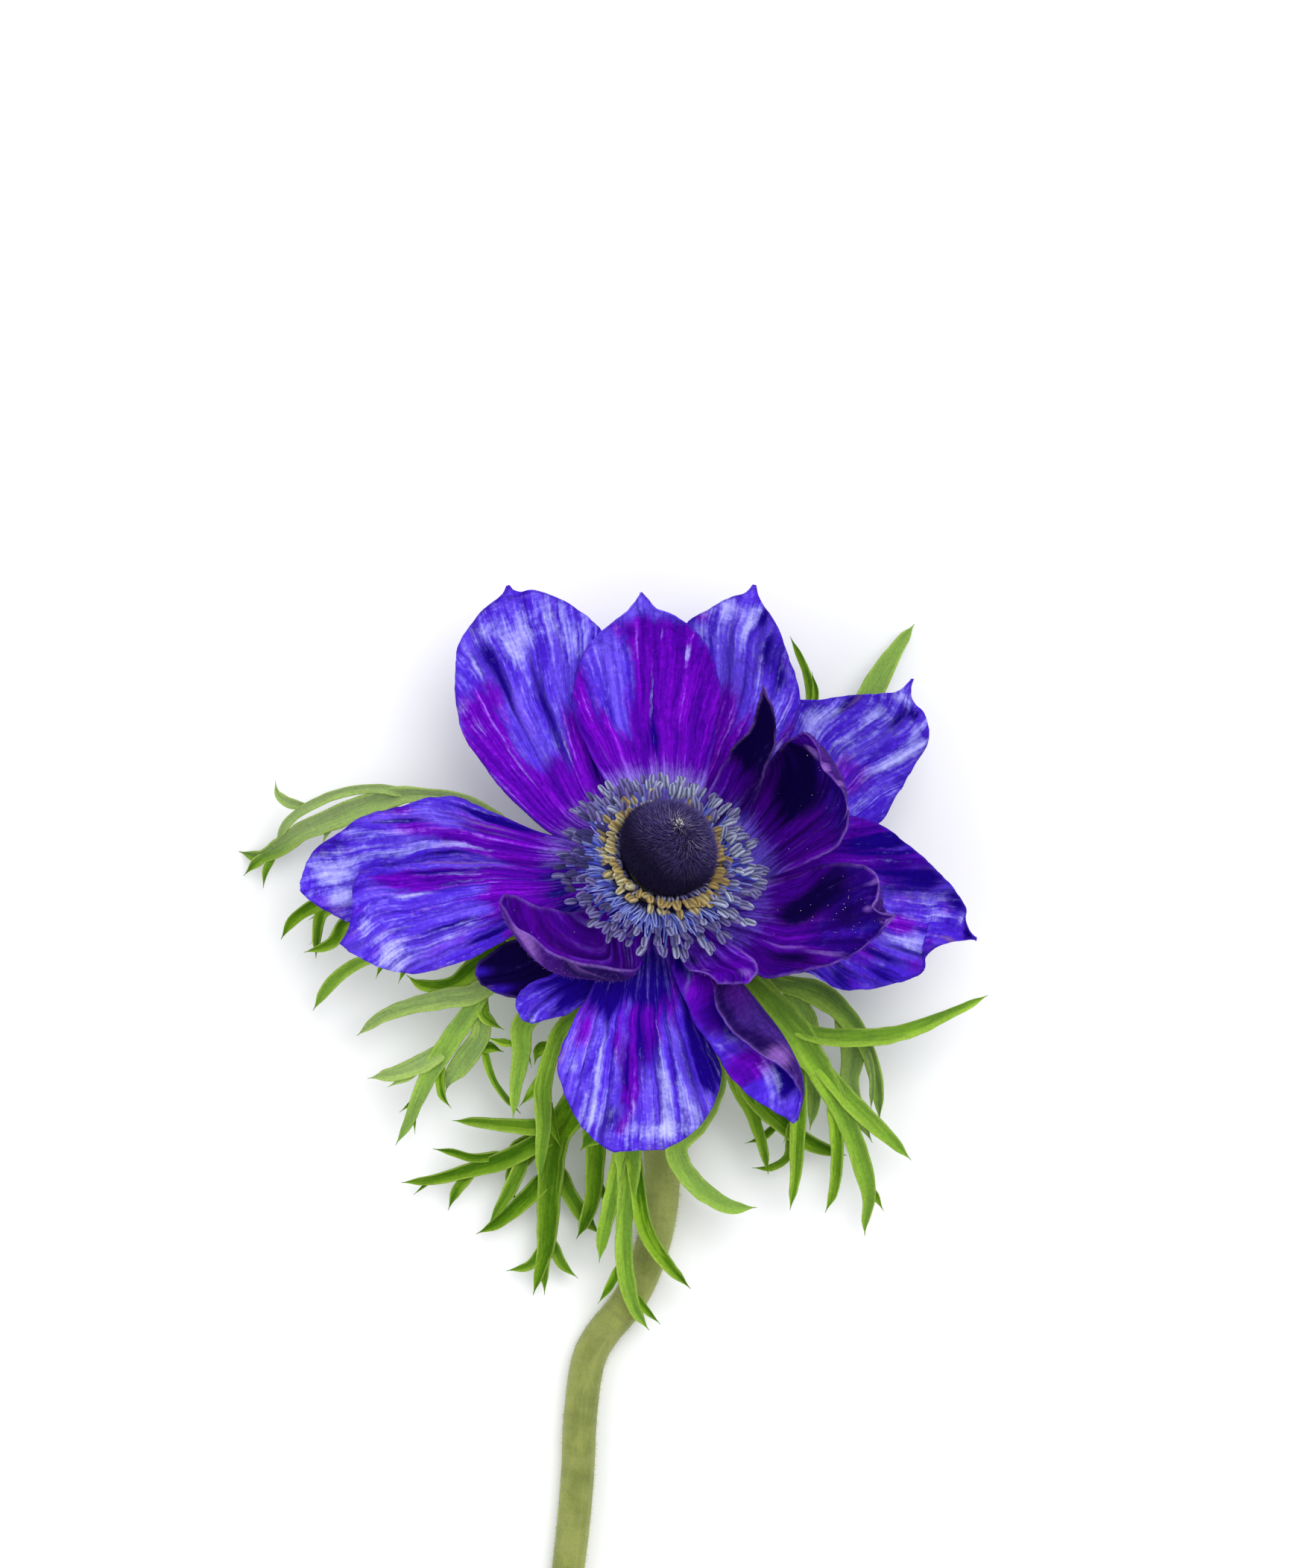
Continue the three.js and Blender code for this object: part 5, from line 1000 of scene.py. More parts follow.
# %% The lobes of the three leaves
LEAF_LEFT = [
    [(-8, -8.4, 14.3, 5), (-14, -9, 14, 5.6), (-21, -10, 13, 5), (-27.5, -11.2, 12.3, 4)],
    [(-13, -8, 14, 4.4), (-19, -3, 13.6, 4), (-25.5, 4, 13.4, 3.4), (-31.2, 8.2, 13.2, 2.2),
     (-36, 9.1, 12.8, 1.9), (-40.4, 9.1, 12.2, 2.6), (-45.5, 7.6, 11, 3.5), (-50.5, 5.7, 9.3, 3.3),
     (-55, 3.9, 7.4, 2.8), (-58.7, 1.4, 5, 2.6), (-61.4, 0, 3, 1.8), (-64.6, 0.8, 0.2, 0.9)],
    [(-39, 9.2, 12.6, 1.8), (-44.3, 10.1, 12, 1.4), (-50, 9.3, 10.8, 1.4), (-55, 7, 9.4, 1.5),
     (-57.6, 4.8, 7.6, 1.3), (-59.2, 1.8, 5.4, 0.8)],
    [(-54.5, 7.4, 9.4, 1.8), (-57.3, 8.1, 9.8, 1.5), (-58.9, 9.4, 10.2, 1.2), (-59.2, 11.3, 10.4, 0.8)],
    [(-60, 0.8, 4.2, 1.8), (-62.2, -1, 3.2, 1.4), (-63.9, -2.8, 2.6, 0.9)],
    [(-59.2, 0.6, 4.4, 1.6), (-60.6, -2, 3.6, 1), (-61, -4.6, 3, 0.8)],
    [(-50.6, 5.4, 9.2, 1.6), (-51.6, 3.6, 8.8, 1.2), (-52.2, 1.8, 8.6, 0.8)],
    [(-26.5, -11, 12.4, 4), (-35, -9.4, 12, 3.4), (-43, -7.6, 11, 3), (-50.5, -6.4, 9.6, 2.4),
     (-54, -7.6, 8.6, 2), (-56.9, -9.8, 7.4, 1.5), (-58.4, -12.3, 6.2, 0.8)],
    [(-49, -6.8, 9.8, 2), (-52.2, -8.2, 8.8, 1.8), (-53, -11.4, 7.2, 1.4), (-53.2, -15.1, 5.6, 0.8)],
    [(-52.8, -11.4, 7.2, 1), (-54.2, -13.1, 6.4, 0.7)],
    [(-52, -7.9, 8.8, 1.2), (-54.3, -9.4, 8.2, 0.7)],
    [(-44, -7.8, 10.8, 2.4), (-48.6, -9.8, 9.6, 2.2), (-50.9, -12.8, 8.6, 1.6), (-55, -14.2, 7.2, 0.8)],
    [(-26, -11.4, 12.4, 4), (-34, -13, 12, 3), (-41, -14.4, 10.8, 2.2), (-45.5, -15.2, 9.8, 1.5),
     (-48.8, -16.9, 8.4, 1.9), (-51.4, -19.3, 6.8, 1.7), (-53.7, -22.9, 5, 0.8)],
    [(-42, -14.6, 10.6, 1.6), (-43.6, -16.4, 9.8, 1.1), (-44.3, -18.1, 9.4, 0.7)],
    [(-38.5, -13.8, 11.2, 1.6), (-40, -16.6, 10.4, 1.3), (-41, -18.8, 9.8, 0.7)],
    [(-22, -11, 13, 3.4), (-28.6, -15.6, 12.6, 3.4), (-33, -18.9, 12, 2.2), (-37.6, -19, 11.4, 1.6),
     (-39.8, -17.5, 11.4, 0.8)],
    [(-19, -10, 13.6, 3.4), (-25.6, -17, 13.6, 3), (-29.6, -20.2, 13.4, 3), (-33.5, -20.9, 12.8, 2.9),
     (-38.3, -21.9, 11.4, 2.5), (-43.4, -23.7, 9, 1.7), (-47.2, -26.6, 6.6, 0.8)],
    [(-27.6, -18.4, 13.2, 2.6), (-30.4, -23.2, 12.6, 2.8), (-33.2, -27.2, 11.6, 3),
     (-35.8, -31.2, 10.4, 2.8), (-38, -35.6, 9.2, 2.1), (-39.3, -39, 8.2, 1.5), (-41.4, -42.8, 7, 0.8)],
    [(-37.8, -35.6, 9.2, 1.3), (-39.4, -36.8, 8.8, 1), (-40.8, -37.9, 8.6, 0.7)],
    [(-38.7, -37.6, 8.6, 1), (-38.5, -41.1, 7.8, 0.6)],
    [(-33.4, -28, 11.4, 2.6), (-37.4, -30.6, 10.8, 2.8), (-41, -32, 9.8, 2.2), (-45.6, -32.9, 8.6, 0.8)],
    [(-38, -31.6, 10.6, 1.8), (-42.6, -34.2, 9, 0.7)],
    [(-28.8, -22, 12.6, 2.4), (-28.9, -26.6, 11.4, 2.8), (-31.4, -30.4, 10.2, 3.2), (-33.5, -33.2, 9, 1.8),
     (-34, -35, 8.4, 0.7)],
    [(-34.4, -29.6, 11, 1.2), (-34.8, -33, 9.6, 1.3), (-34.5, -35.4, 8.6, 1.1), (-33.1, -37.3, 7.8, 0.7)],
    [(-28.2, -20.6, 13.2, 2), (-28.4, -23.2, 13.2, 1.8), (-26.8, -24.8, 13, 1.3), (-25.2, -25.7, 12.8, 0.7)],
    [(-29.4, -28.4, 10.9, 2), (-27.4, -28.3, 10.4, 2.2), (-25.4, -28.9, 9.6, 1)],
    [(-28.4, -28, 10.4, 1.3), (-27.1, -32.6, 8.6, 1), (-25.2, -35.6, 7.4, 0.9), (-22.8, -38.1, 6.2, 0.8)],
]
LEAF_LOWER = [
    [(-4.7, -11.8, 15.8, 5), (-6, -17, 14.8, 6), (-8, -24, 13.2, 6), (-9, -32, 12, 5.4),
     (-8.6, -39, 11.4, 5)],
    [(-7, -16, 14.8, 3.6), (-14, -19.6, 14.4, 3.4), (-19.6, -22, 14.4, 3), (-22.5, -25, 14, 3.2),
     (-22.7, -29, 13, 2.7), (-23.5, -34, 11.6, 1.7), (-24, -38.9, 10.2, 0.8)],
    [(-22, -28.4, 13, 1.4), (-21.2, -31.2, 12.4, 0.7)],
    [(-23.2, -27.8, 13.4, 1.4), (-25.6, -27.5, 13.6, 1.2), (-28, -26.7, 13.8, 0.7)],
    [(-7.4, -20, 14, 3.8), (-12.6, -23, 13.6, 3.2), (-16.6, -25.4, 13.2, 2.4), (-18.2, -29, 12.6, 2.4),
     (-19.5, -34, 11.6, 2.6), (-19.4, -40, 10.2, 2.3), (-19.9, -44.6, 9, 1.5), (-20.1, -48.1, 8, 0.8)],
    [(-19.3, -31.6, 12, 1.4), (-21.2, -34.9, 11.2, 1.3), (-23.1, -37.1, 10.6, 0.7)],
    [(-18.4, -36.6, 10.8, 1.2), (-17.9, -40.4, 9.8, 1.1), (-16.7, -43.3, 9, 0.7)],
    [(-17.6, -28, 12.6, 2), (-20.2, -28.9, 11.6, 2.2), (-20.8, -30.8, 11, 1)],
    [(-8.6, -26, 12.8, 5), (-12, -32, 10.8, 5), (-15, -37.4, 8.6, 5), (-17.6, -41.6, 7.2, 4),
     (-18.4, -47.6, 6, 3.6), (-18.8, -53, 5, 3.3), (-19, -57.4, 4.2, 2.7), (-19.9, -61, 3.6, 1.7),
     (-21, -65, 3, 0.8)],
    [(-19, -57, 4.2, 1.8), (-21.4, -60.5, 3.6, 1.4), (-25, -61.4, 3, 0.8)],
    [(-18.7, -56, 4.4, 2), (-16.7, -60.4, 3.4, 1.4), (-14.3, -62.5, 2.6, 0.8)],
    [(-19, -58, 4, 1.4), (-19.3, -62, 3.3, 1.1), (-19.3, -65, 2.8, 0.7)],
    [(-18.4, -46.8, 6, 3), (-22.8, -51.4, 4.8, 2.5), (-26.4, -54.4, 3.8, 1.6), (-29.4, -55.9, 3, 0.8)],
    [(-17.6, -45.6, 6.2, 2.4), (-15.4, -50.4, 4.6, 2.3), (-13, -54, 3.2, 1.8), (-10.9, -56.1, 2.6, 0.8)],
    [(-16.4, -38.6, 8, 2.4), (-20, -40, 8, 2.5), (-24, -39.9, 7.6, 2.1), (-28.6, -39.4, 7, 1.5),
     (-33, -39.1, 6.4, 0.8)],
    [(-17, -40.6, 7.4, 2.8), (-21.4, -43, 6.6, 2.8), (-25.4, -45, 5.8, 2.7), (-30.4, -46.5, 5, 2.1),
     (-36, -47.9, 4.2, 1.4), (-40.6, -48.3, 3.6, 0.8)],
    [(-24.6, -44.2, 6, 1.6), (-30, -44.6, 5.6, 1.3), (-33, -43.8, 5.8, 1.1), (-35.9, -43.3, 6, 0.7)],
    [(-29.6, -46.6, 5, 1.8), (-32.2, -49.2, 4.2, 1.5), (-33.6, -52.4, 3.4, 0.8)],
    [(-36.2, -48, 4.2, 1.2), (-38.7, -50.1, 3.4, 0.7)],
    [(-22, -43.6, 6.4, 2.2), (-24.2, -48.9, 5.4, 2), (-27.6, -54.6, 4.6, 0.8)],
    [(-9.4, -33, 11.6, 4), (-11.4, -40, 9.6, 2.8), (-11.8, -46, 7.6, 2.8), (-12.3, -51, 6.2, 2.2),
     (-13.4, -54.4, 5.4, 1.6), (-14.6, -56.7, 4.8, 0.8)],
    [(-11.6, -47.4, 7.2, 1.6), (-10.7, -50, 6.6, 1.1), (-10.4, -51.9, 6.2, 0.7)],
    [(-8.6, -37, 11.6, 4.4), (-7, -43, 11, 4.2), (-7, -49, 10.2, 3), (-7.5, -54.6, 9.4, 2.5),
     (-7.5, -59, 8.8, 2.6), (-6.9, -63.6, 8, 2.4), (-5.7, -67.4, 7, 1.7), (-3.8, -70.2, 6, 0.8)],
    [(-7.6, -42, 11, 2.4), (-8.9, -48, 10.2, 2.2), (-9.8, -52.4, 9.4, 2.2), (-10.7, -56.4, 8.4, 1.8),
     (-11.2, -60.2, 7.6, 0.8)],
    [(-6.4, -42.6, 11, 2.4), (-5.5, -49, 10.4, 2.3), (-4.4, -55, 9.8, 2.4), (-1.9, -59.4, 9, 2),
     (2.4, -64.1, 8, 0.8)],
    [(-7.8, -60, 8.6, 1.5), (-9.6, -63.6, 8, 1.2), (-11.4, -66.3, 7.6, 0.7)],
    [(-6.2, -64.4, 7.8, 1.3), (-4.4, -67, 7.2, 1.1), (-2.1, -69.3, 6.6, 0.7)],
    [(-6, -16, 14.8, 4.4), (-1, -23, 13.8, 4), (4.2, -28, 13.2, 4), (5.6, -33.4, 12.8, 4.2),
     (3, -39.4, 12, 3.8), (0.2, -43, 11.2, 3.2), (1.2, -46.2, 10.4, 3), (4.6, -49.8, 9.4, 2.9),
     (8.4, -51.9, 8.4, 2.1), (12.2, -52, 7.4, 0.8)],
    [(-9.2, -36, 11, 4), (-12, -41, 10, 3.4), (-14, -43.6, 9.4, 1.4)],
    [(-18.6, -42, 6.4, 2.2), (-22.6, -42.4, 4.6, 1.8), (-25.6, -44.4, 4, 0.8)],
    [(-20.6, -44, 6, 2), (-24.2, -47, 4, 1.7), (-23.6, -51.2, 3.2, 0.8)],
]
LEAF_RIGHT = [
    [(-1, -9.1, 13.3, 5), (4, -12, 14, 5.6), (9, -16.4, 14.6, 5.2), (13, -20.8, 14.8, 5),
     (16.3, -24.2, 14.6, 5), (19.2, -28, 13.8, 4.6), (21.8, -32.2, 12.6, 3.6), (24.3, -36.8, 11, 3.2),
     (26.4, -41.5, 9.2, 2.9), (28, -46.4, 7.4, 2.8), (28.8, -50.6, 6.2, 1.9), (28.2, -54.4, 5.2, 1.1),
     (28.2, -56.3, 4.8, 0.8)],
    [(28.6, -48.6, 6.8, 1.6), (29.9, -50.6, 6.2, 1.2), (31, -52.6, 5.6, 0.8)],
    [(16.6, -23.8, 14.6, 3), (20, -26.1, 14.2, 2.5), (26, -26.8, 13.6, 2.8), (31.4, -26.5, 12.6, 2.5),
     (36.6, -25.1, 11.4, 2.1), (41.6, -22.9, 10.2, 1.4), (46.5, -20.5, 9, 0.8)],
    [(20, -29, 13.4, 2.6), (24.6, -34.7, 11.8, 2.7), (28.6, -38.8, 10.2, 2.7), (31.8, -41.7, 9, 1.9),
     (35.1, -45, 7.8, 0.8)],
    [(23.4, -35.4, 11.2, 2), (24, -41.6, 9.6, 1.9), (24, -46.4, 8.2, 1.7), (23.4, -50, 7.2, 1.3),
     (22.3, -52.8, 6.4, 0.8)],
    [(17.4, -26, 13.8, 2.4), (18.3, -32, 11.8, 2.3), (18.4, -38, 10.2, 2.4), (18.1, -43, 8.8, 2.2),
     (17.9, -47.4, 7.6, 1.5), (17.1, -52.4, 6.4, 0.8)],
    [(17.7, -38.6, 9.8, 1.2), (16.1, -42.5, 8.8, 0.7)],
    [(3.4, -12.4, 13.6, 4), (6.6, -20, 10.8, 3.2), (8, -27.4, 9.4, 3.2), (9.5, -33, 8.4, 3.2),
     (11.6, -38.4, 7.2, 2), (13, -42.8, 6.2, 1.5), (13.9, -47.1, 5.2, 0.8)],
    [(8.2, -29, 9, 3), (12.4, -36.2, 7.6, 3), (17, -40.4, 6.2, 2.6), (20.9, -42.9, 5.2, 2.1),
     (25.5, -44.3, 4, 0.8)],
    [(15.4, -39.6, 6.6, 1.4), (13, -41.6, 5.4, 1.1), (10.4, -42.5, 4.8, 0.7)],
    [(17.2, -40.6, 6, 1.4), (16.6, -44.6, 4.8, 1.2), (14.2, -46.1, 4.2, 1.1), (11.4, -46.1, 3.8, 0.7)],
    [(10, -15.8, 14, 3.4), (15.6, -18.6, 12.4, 2.6), (21.2, -20.3, 11, 3.6), (25.2, -23.4, 9.8, 3.1),
     (28.2, -27.8, 8.6, 2.3), (29.8, -33, 7.4, 1.9), (30.4, -39.2, 6.2, 0.8)],
    [(27.6, -26.6, 9, 1.4), (29.2, -32, 7.8, 1), (29.1, -37.6, 6.6, 0.7)],
    [(24.4, -22.6, 10, 3), (26.4, -28.4, 7.6, 3.4), (26, -33, 6.4, 2.8), (27.4, -38.4, 5.2, 1.7),
     (29.3, -42.4, 4.2, 0.8)],
    [(16.2, -19, 12.2, 2.4), (19.6, -24, 9.6, 2.8), (20.4, -31, 7.8, 2.2), (20.6, -36.6, 6.8, 1.8),
     (20, -40.6, 6.6, 0.9)],
    [(-0.7, -9, 13.2, 4.4), (4, -6, 10.4, 4.2), (12, 4, 7.6, 4), (20, 12.4, 7, 4), (27, 20.6, 6.6, 4),
     (30, 26, 5.4, 3.4), (32.6, 30.4, 3.2, 2.2), (35.6, 34.6, 0.16, 0.9)],
    [(16, 8, 7.3, 2), (19, 15, 7.8, 1.6), (20.2, 22, 8, 1.4), (19.6, 27, 7.6, 1.2), (17.1, 32.7, 6.6, 0.7)],
    [(20, 20.6, 8, 1.2), (20.9, 24, 8.2, 1), (20.3, 27.5, 8, 0.7)],
]
print("lobes:", len(LEAF_LEFT), len(LEAF_LOWER), len(LEAF_RIGHT))

# %% [markdown]
# Each lobe becomes a grid across and along, with a crease down its middle, fine veins, a slow wave
# and small teeth on its rim. A lobe low under the flower gets painted shade, a darker green. Some
# lobes are brighter or dusty, and a short table says which. The half of a lobe that faces the upper
# right gets a painted highlight, and the other half painted shade.

# %% Shape the lobes
LOBE_ROW_STEP = 0.8
LOBE_COLS = 11
LEAF_MIDDLE = 0.55
LEAF_RIM = 0.3
LEAF_CHANNEL = 0.2
LOBE_TIP = 3.0
LOBE_ROOT = 3.5
TOOTH = 0.07
LOBE_VEIN = 0.05
LOBE_WAVE = 0.25
SHADE_FULL_BELOW = 5.0
SHADE_NONE_ABOVE = 12.0
LIGHT_FROM = (0.55, 0.83)


def lobe_blade(lobe, seed):
    """A lobe's grid of points, its shares along and across, its half width and its length."""
    curve = smooth_curve([np.append(point(p), p[3]) for p in lobe])
    length = curve[2]
    u = np.linspace(0, 1, int(length / LOBE_ROW_STEP) + 6)
    v = np.linspace(-1, 1, LOBE_COLS)[None]
    line = read_curve(curve, u)
    u = u[:, None]
    centre, wide = line[:, None, :3], np.maximum(line[:, 3:], 0.3)
    side, up = level_frame(unit(np.gradient(centre, axis=0)))
    tip = 1 - 0.93 * smooth_step(u, 1 - LOBE_TIP / length, 1) - 0.5 * (1 - smooth_step(u, 0, 2.5 / length))
    half = wide * tip / 2
    teeth = 1 + TOOTH * rolling(u * length / 1.6 + 3, np.sign(v) * 2 + 5, seed)
    rise = LEAF_CHANNEL * np.abs(v) ** 1.25 * half * 1.7
    rise = rise + LOBE_VEIN * rolling(v * 4 + 9, u * 4, seed + 1) * np.minimum(half, 1)
    rise += LOBE_WAVE * rolling(v * 0.8 * np.minimum(half, 1) + 4, u * length / 6, seed + 2)
    rise -= 0.8 * (1 - smooth_step(u, 0, LOBE_ROOT / length))
    grid = centre + side * (half * v * teeth)[..., None] + up * rise[..., None]
    grid[..., 2] = np.maximum(grid[..., 2], LEAF_MIDDLE / 2)
    return grid, *np.broadcast_arrays(u, v), half, length


def half_to_light(grid):
    """Which half of a folded lobe gets the painted highlight: the one whose face looks to the upper right.
    """
    across = unit(grid[:, -1] - grid[:, 0])
    return -np.tanh(3 * (across[:, :2] @ LIGHT_FROM))[:, None]


def make_leaf(name, lobes, first_seed, bright, dusty):
    heap = Heap()
    for number, lobe in enumerate(lobes):
        seed = first_seed + number * 5
        grid, u, v, half, length = lobe_blade(lobe, seed)
        thick = LEAF_RIM + (LEAF_MIDDLE - LEAF_RIM) * (1 - v ** 2)
        vertices, faces, _ = thin_blade(grid, thick * np.clip(half / 0.7, 0.12, 1))
        vertices[:, 2] = np.maximum(vertices[:, 2], 0)
        draw = np.random.default_rng(seed).uniform()
        # Painted highlight and shade: the half facing the upper right is lit, the other dim.
        shine = v * half_to_light(grid)
        dusty_tip = smooth_step(grid[..., 1], -2, 4) * (grid[..., 0] < -20)
        heap.add(vertices, faces, **for_both_faces({
            "grain": np.stack([v * half + 20 * number, u * length, 0 * u + number], -1),
            "groove": np.exp(-(v / 0.12) ** 2),
            "rim": smooth_step(np.abs(v), 0.84, 1),
            # Painted shade on lobes that hang low, with a little random tone per lobe.
            "far": 0.55 * (1 - smooth_step(grid[..., 2], SHADE_FULL_BELOW, SHADE_NONE_ABOVE)) + 0.1 * draw,
            "bright": np.full(u.shape, bright.get(number, 0.1 * draw)),
            "dust": np.maximum(dusty_tip, dusty.get(number, 0)),
            "lit": smooth_step(shine, 0, 0.6) * (0.5 + 0.8 * draw),
            "dim": smooth_step(-shine, 0, 0.5) * (1.2 - 0.8 * draw),
        }))
    make_heap(name + "_blades", heap, [leaf_green], [name])


print("a lobe has", LOBE_COLS, "points across on each face")

# %% Make the leaves
make_leaf("leaf_left", LEAF_LEFT, 3000, bright={12: 0.35, 17: 0.3},
          dusty={16: 0.9, 17: 0.35, 20: 0.95, 21: 0.8, 22: 0.75})
make_leaf("leaf_lower", LEAF_LOWER, 4000, bright={0: 0.2, 1: 0.5, 4: 0.25, 22: 0.3, 23: 0.25, 27: 0.5},
          dusty={27: 0.2})
make_leaf("leaf_right", LEAF_RIGHT, 5000, bright={0: 0.3, 2: 0.25, 3: 0.3, 14: 0.35, 15: 0.4},
          dusty={11: 0.35, 12: 0.6, 13: 0.6, 14: 0.4, 15: 0.3})
print("triangles so far:", triangles)

# %% [markdown]
# ## Stem
# The stem swells into a receptacle under the petals, bends down to the table and lies along it,
# ending in a florist's slanted cut. It is a tube of rings along one curve, with shallow ribs. Where
# it lies, its underside is pressed flat on the table. A mask paints light on its neck, over the shade
# that falls there under the flower and leaves.

# %% Make the stem
NECK_PATH = [(-5.6, -13.2, 8.6), (-5.8, -20, 4.8), (-5, -28, 2.9), (-3, -37, 2.2), (-1.8, -46, 2),
             (-2.6, -55, 2), (-5.1, -62.6, 2), (-7.4, -66.6, 2), (-10.6, -70.5, 2), (-12.7, -74.4, 2),
             (-13.9, -82, 2), (-14.3, -91, 2), (-15, -99, 2), (-16.4, -110, 2), (-18.4, -122, 2),
             (-21, -135, 2)]
RECEPTACLE = [(1.5, 4.1), (1.1, 4.5), (-2, 4.6), (-5.6, 4.5), (-7.4, 3.8), (-9.2, 3.1), (-11, 2.8)]
NECK_RADIUS = 2.75
CUT_RADIUS = 2.35
CUT_SLANT = 0.5
STEM_SIDES = 40
STEM_RINGS = 190
STEM_FLAT = 0.966
STEM_BUMP = 0.02
STEM_RIB = 0.012
STEM_RIBS = 13
GRAIN_RADIUS = 2.6
NECK_LIGHT = (42, 74)
STEM_SEED = 61


def stem_rings():
    """Centre, direction and radius of each ring, from the receptacle to past the cut."""
    curve = smooth_curve([around(0, 0, -10), around(0, 0, -12)] + [point(p) for p in NECK_PATH])
    share = np.linspace(0.015, 1, STEM_RINGS)
    radii = NECK_RADIUS + (CUT_RADIUS - NECK_RADIUS) * share
    centres = read_curve(curve, share)
    centres[:, 2] = np.maximum(centres[:, 2], radii * STEM_FLAT)
    along = unit(np.gradient(centres, axis=0))
    rings = [(around(0, 0, height), -FACE, radius) for height, radius in RECEPTACLE]
    return rings + list(zip(centres, along, radii))


def make_stem():
    rings = stem_rings()
    turn = full_turn(STEM_SIDES)
    end = point(NECK_PATH[-1]) + np.array([0, 1, 0])
    heap = Heap()
    so_far = 0.0
    previous = rings[0][0]
    for centre, along, radius in rings:
        so_far += np.linalg.norm(centre - previous)
        previous = centre
        down = np.full(STEM_SIDES, so_far)
        side, up = level_frame(along)
        bumps = 1 + STEM_BUMP * rolling(turn / math.tau * 8, down / 5, STEM_SEED)
        r = radius * bumps * (1 + STEM_RIB * np.cos(turn * STEM_RIBS))
        ring = centre + spin(turn, side, up) * r[:, None]
        ring[:, 2] = np.maximum(ring[:, 2], 0)
        beyond = end[1] + CUT_SLANT * (ring[:, 2] - end[2]) - ring[:, 1]
        ring[:, 1] += np.maximum(beyond, 0)
        # The neck mask paints light on the neck, over the shade that falls there.
        heap.add(ring, [], neck=1 - smooth_step(down, *NECK_LIGHT),
                 grain=np.stack([turn * GRAIN_RADIUS, down, 0 * turn], 1))
    heap.faces = ring_faces(len(rings), STEM_SIDES)
    make_heap("stem_skin", heap, [stem_green], ["stem"])


make_stem()

# %% [markdown]
# ## Stamens
# Over two hundred stamens stand round the dome in three or four rows. Each is a violet-blue thread
# with an anther at its end: two pollen sacs side by side with a seam between them. Bare threads
# show among them, most on the open side of the ring, where the stamens reach far. Two more rows,
# whose anthers have turned gold, hug the dome. A golden angle between one stamen and the next
# spreads them evenly without making spokes.

# %% Shape one stamen
THREAD_RADIUS = 0.19
THREAD_SIDES = 6
THREAD_STEPS = 9
ANTHER_SIDES = 16
ANTHER_RINGS = 10
ANTHER_FLAT = 0.72
ANTHER_SEED = 91
COLLAR_SIDES = 64
DRAW_SEED = 2024
rng = np.random.default_rng(DRAW_SEED)


def anther(middle, ahead, long, wide, roll):
    """Vertices, faces and masks of one anther: a two-lobed bead along ahead."""
    share = 0.5 - 0.5 * np.cos(np.linspace(0.06, math.pi - 0.06, ANTHER_RINGS))
    girth = (1 - np.abs(2 * share - 1) ** 4) ** 0.5 * (1.06 - 0.12 * share)
    girth = girth * (1 + 0.06 * rolling(share * 3 + 5, middle[0] * 3 + 0 * share, ANTHER_SEED))
    side = unit(np.cross(ahead, FACE))
    up = np.cross(side, ahead)
    side, up = spin(roll, side, up), spin(roll, up, -side)
    turn = full_turn(ANTHER_SIDES)
    seam = np.abs(np.sin(turn)) ** 8
    crest = np.abs(np.sin(2 * turn)) ** 3
    section = spin(turn, side, up * ANTHER_FLAT) * (0.84 + 0.12 * crest - 0.22 * seam)[:, None]
    bow = 0.06 * long * np.sin(np.pi * share)
    spine = middle + np.outer(share - 0.5, ahead) * long + np.outer(bow, up)
    vertices = spine[:, None] + section * (girth * wide / 2)[:, None, None]
    masks = {"seam": np.tile(seam, ANTHER_RINGS) * 0.9, "crest": np.tile(crest, ANTHER_RINGS)}
    return vertices.reshape(-1, 3), ring_faces(ANTHER_RINGS, ANTHER_SIDES), masks


def add_thread(heap, root, bend, tip, tint, end=0.8):
    centres = read_curve(smooth_curve([root, bend, tip]), np.linspace(0, 1, THREAD_STEPS))
    taper = np.linspace(THREAD_RADIUS * 1.25, THREAD_RADIUS * end, THREAD_STEPS)
    vertices, faces = round_tube(centres, taper, THREAD_SIDES)
    heap.add(vertices, faces, grain=vertices, thread=1, seam=0, crest=0, tint=tint)


def add_stamen(heap, root, bend, tip, long, wide, tint, roll, lean):
    add_thread(heap, root, bend, tip, rng.uniform())
    ahead = unit(unit(tip - bend) + lean)
    vertices, faces, masks = anther(tip + ahead * long * 0.3, ahead, long, wide, roll)
    heap.add(vertices, faces, grain=vertices, thread=0, tint=tint, **masks)


def add_collar(heap, inner, outer, low, high):
    """The ring that the threads spring from, round the dome."""
    corners = [(outer, low), (outer, high), (inner, high), (inner, low)]
    angles = np.arange(COLLAR_SIDES) / COLLAR_SIDES * 360
    vertices = np.array([around(a, r, h) for a in angles for r, h in corners])
    faces = []
    for k in range(COLLAR_SIDES):
        n = (k + 1) % COLLAR_SIDES
        for c in range(4):
            d = (c + 1) % 4
            faces.append([k * 4 + c, n * 4 + c, n * 4 + d, k * 4 + d])
    # seam=1 paints the whole collar in the darker shade colour, as painted shade at the foot of the threads.
    heap.add(vertices, faces, grain=vertices, thread=0, seam=1, crest=0, tint=0)


print("an anther has", ANTHER_RINGS, "rings of", ANTHER_SIDES, "points")

# %% Make the stamens
OUTER_COLLAR = (4.9, 8.4, 1.0, 2.0)
INNER_COLLAR = (6.05, 7.0, 2.45, 3.25)
OUTER_STAMENS = 205
BARE_THREADS = 150
GOLD_FIRST_ROW = 72
GOLD_SECOND_ROW = 36
GOLDEN_ANGLE = 137.508
OPEN_SIDE = 240.0
LONGER_WAY = 130.0


def lopsided(angle):
    """How much farther out the dome and the golden rows reach, along the dome's longer way."""
    return 0.35 * np.cos(2 * np.radians(angle - LONGER_WAY))


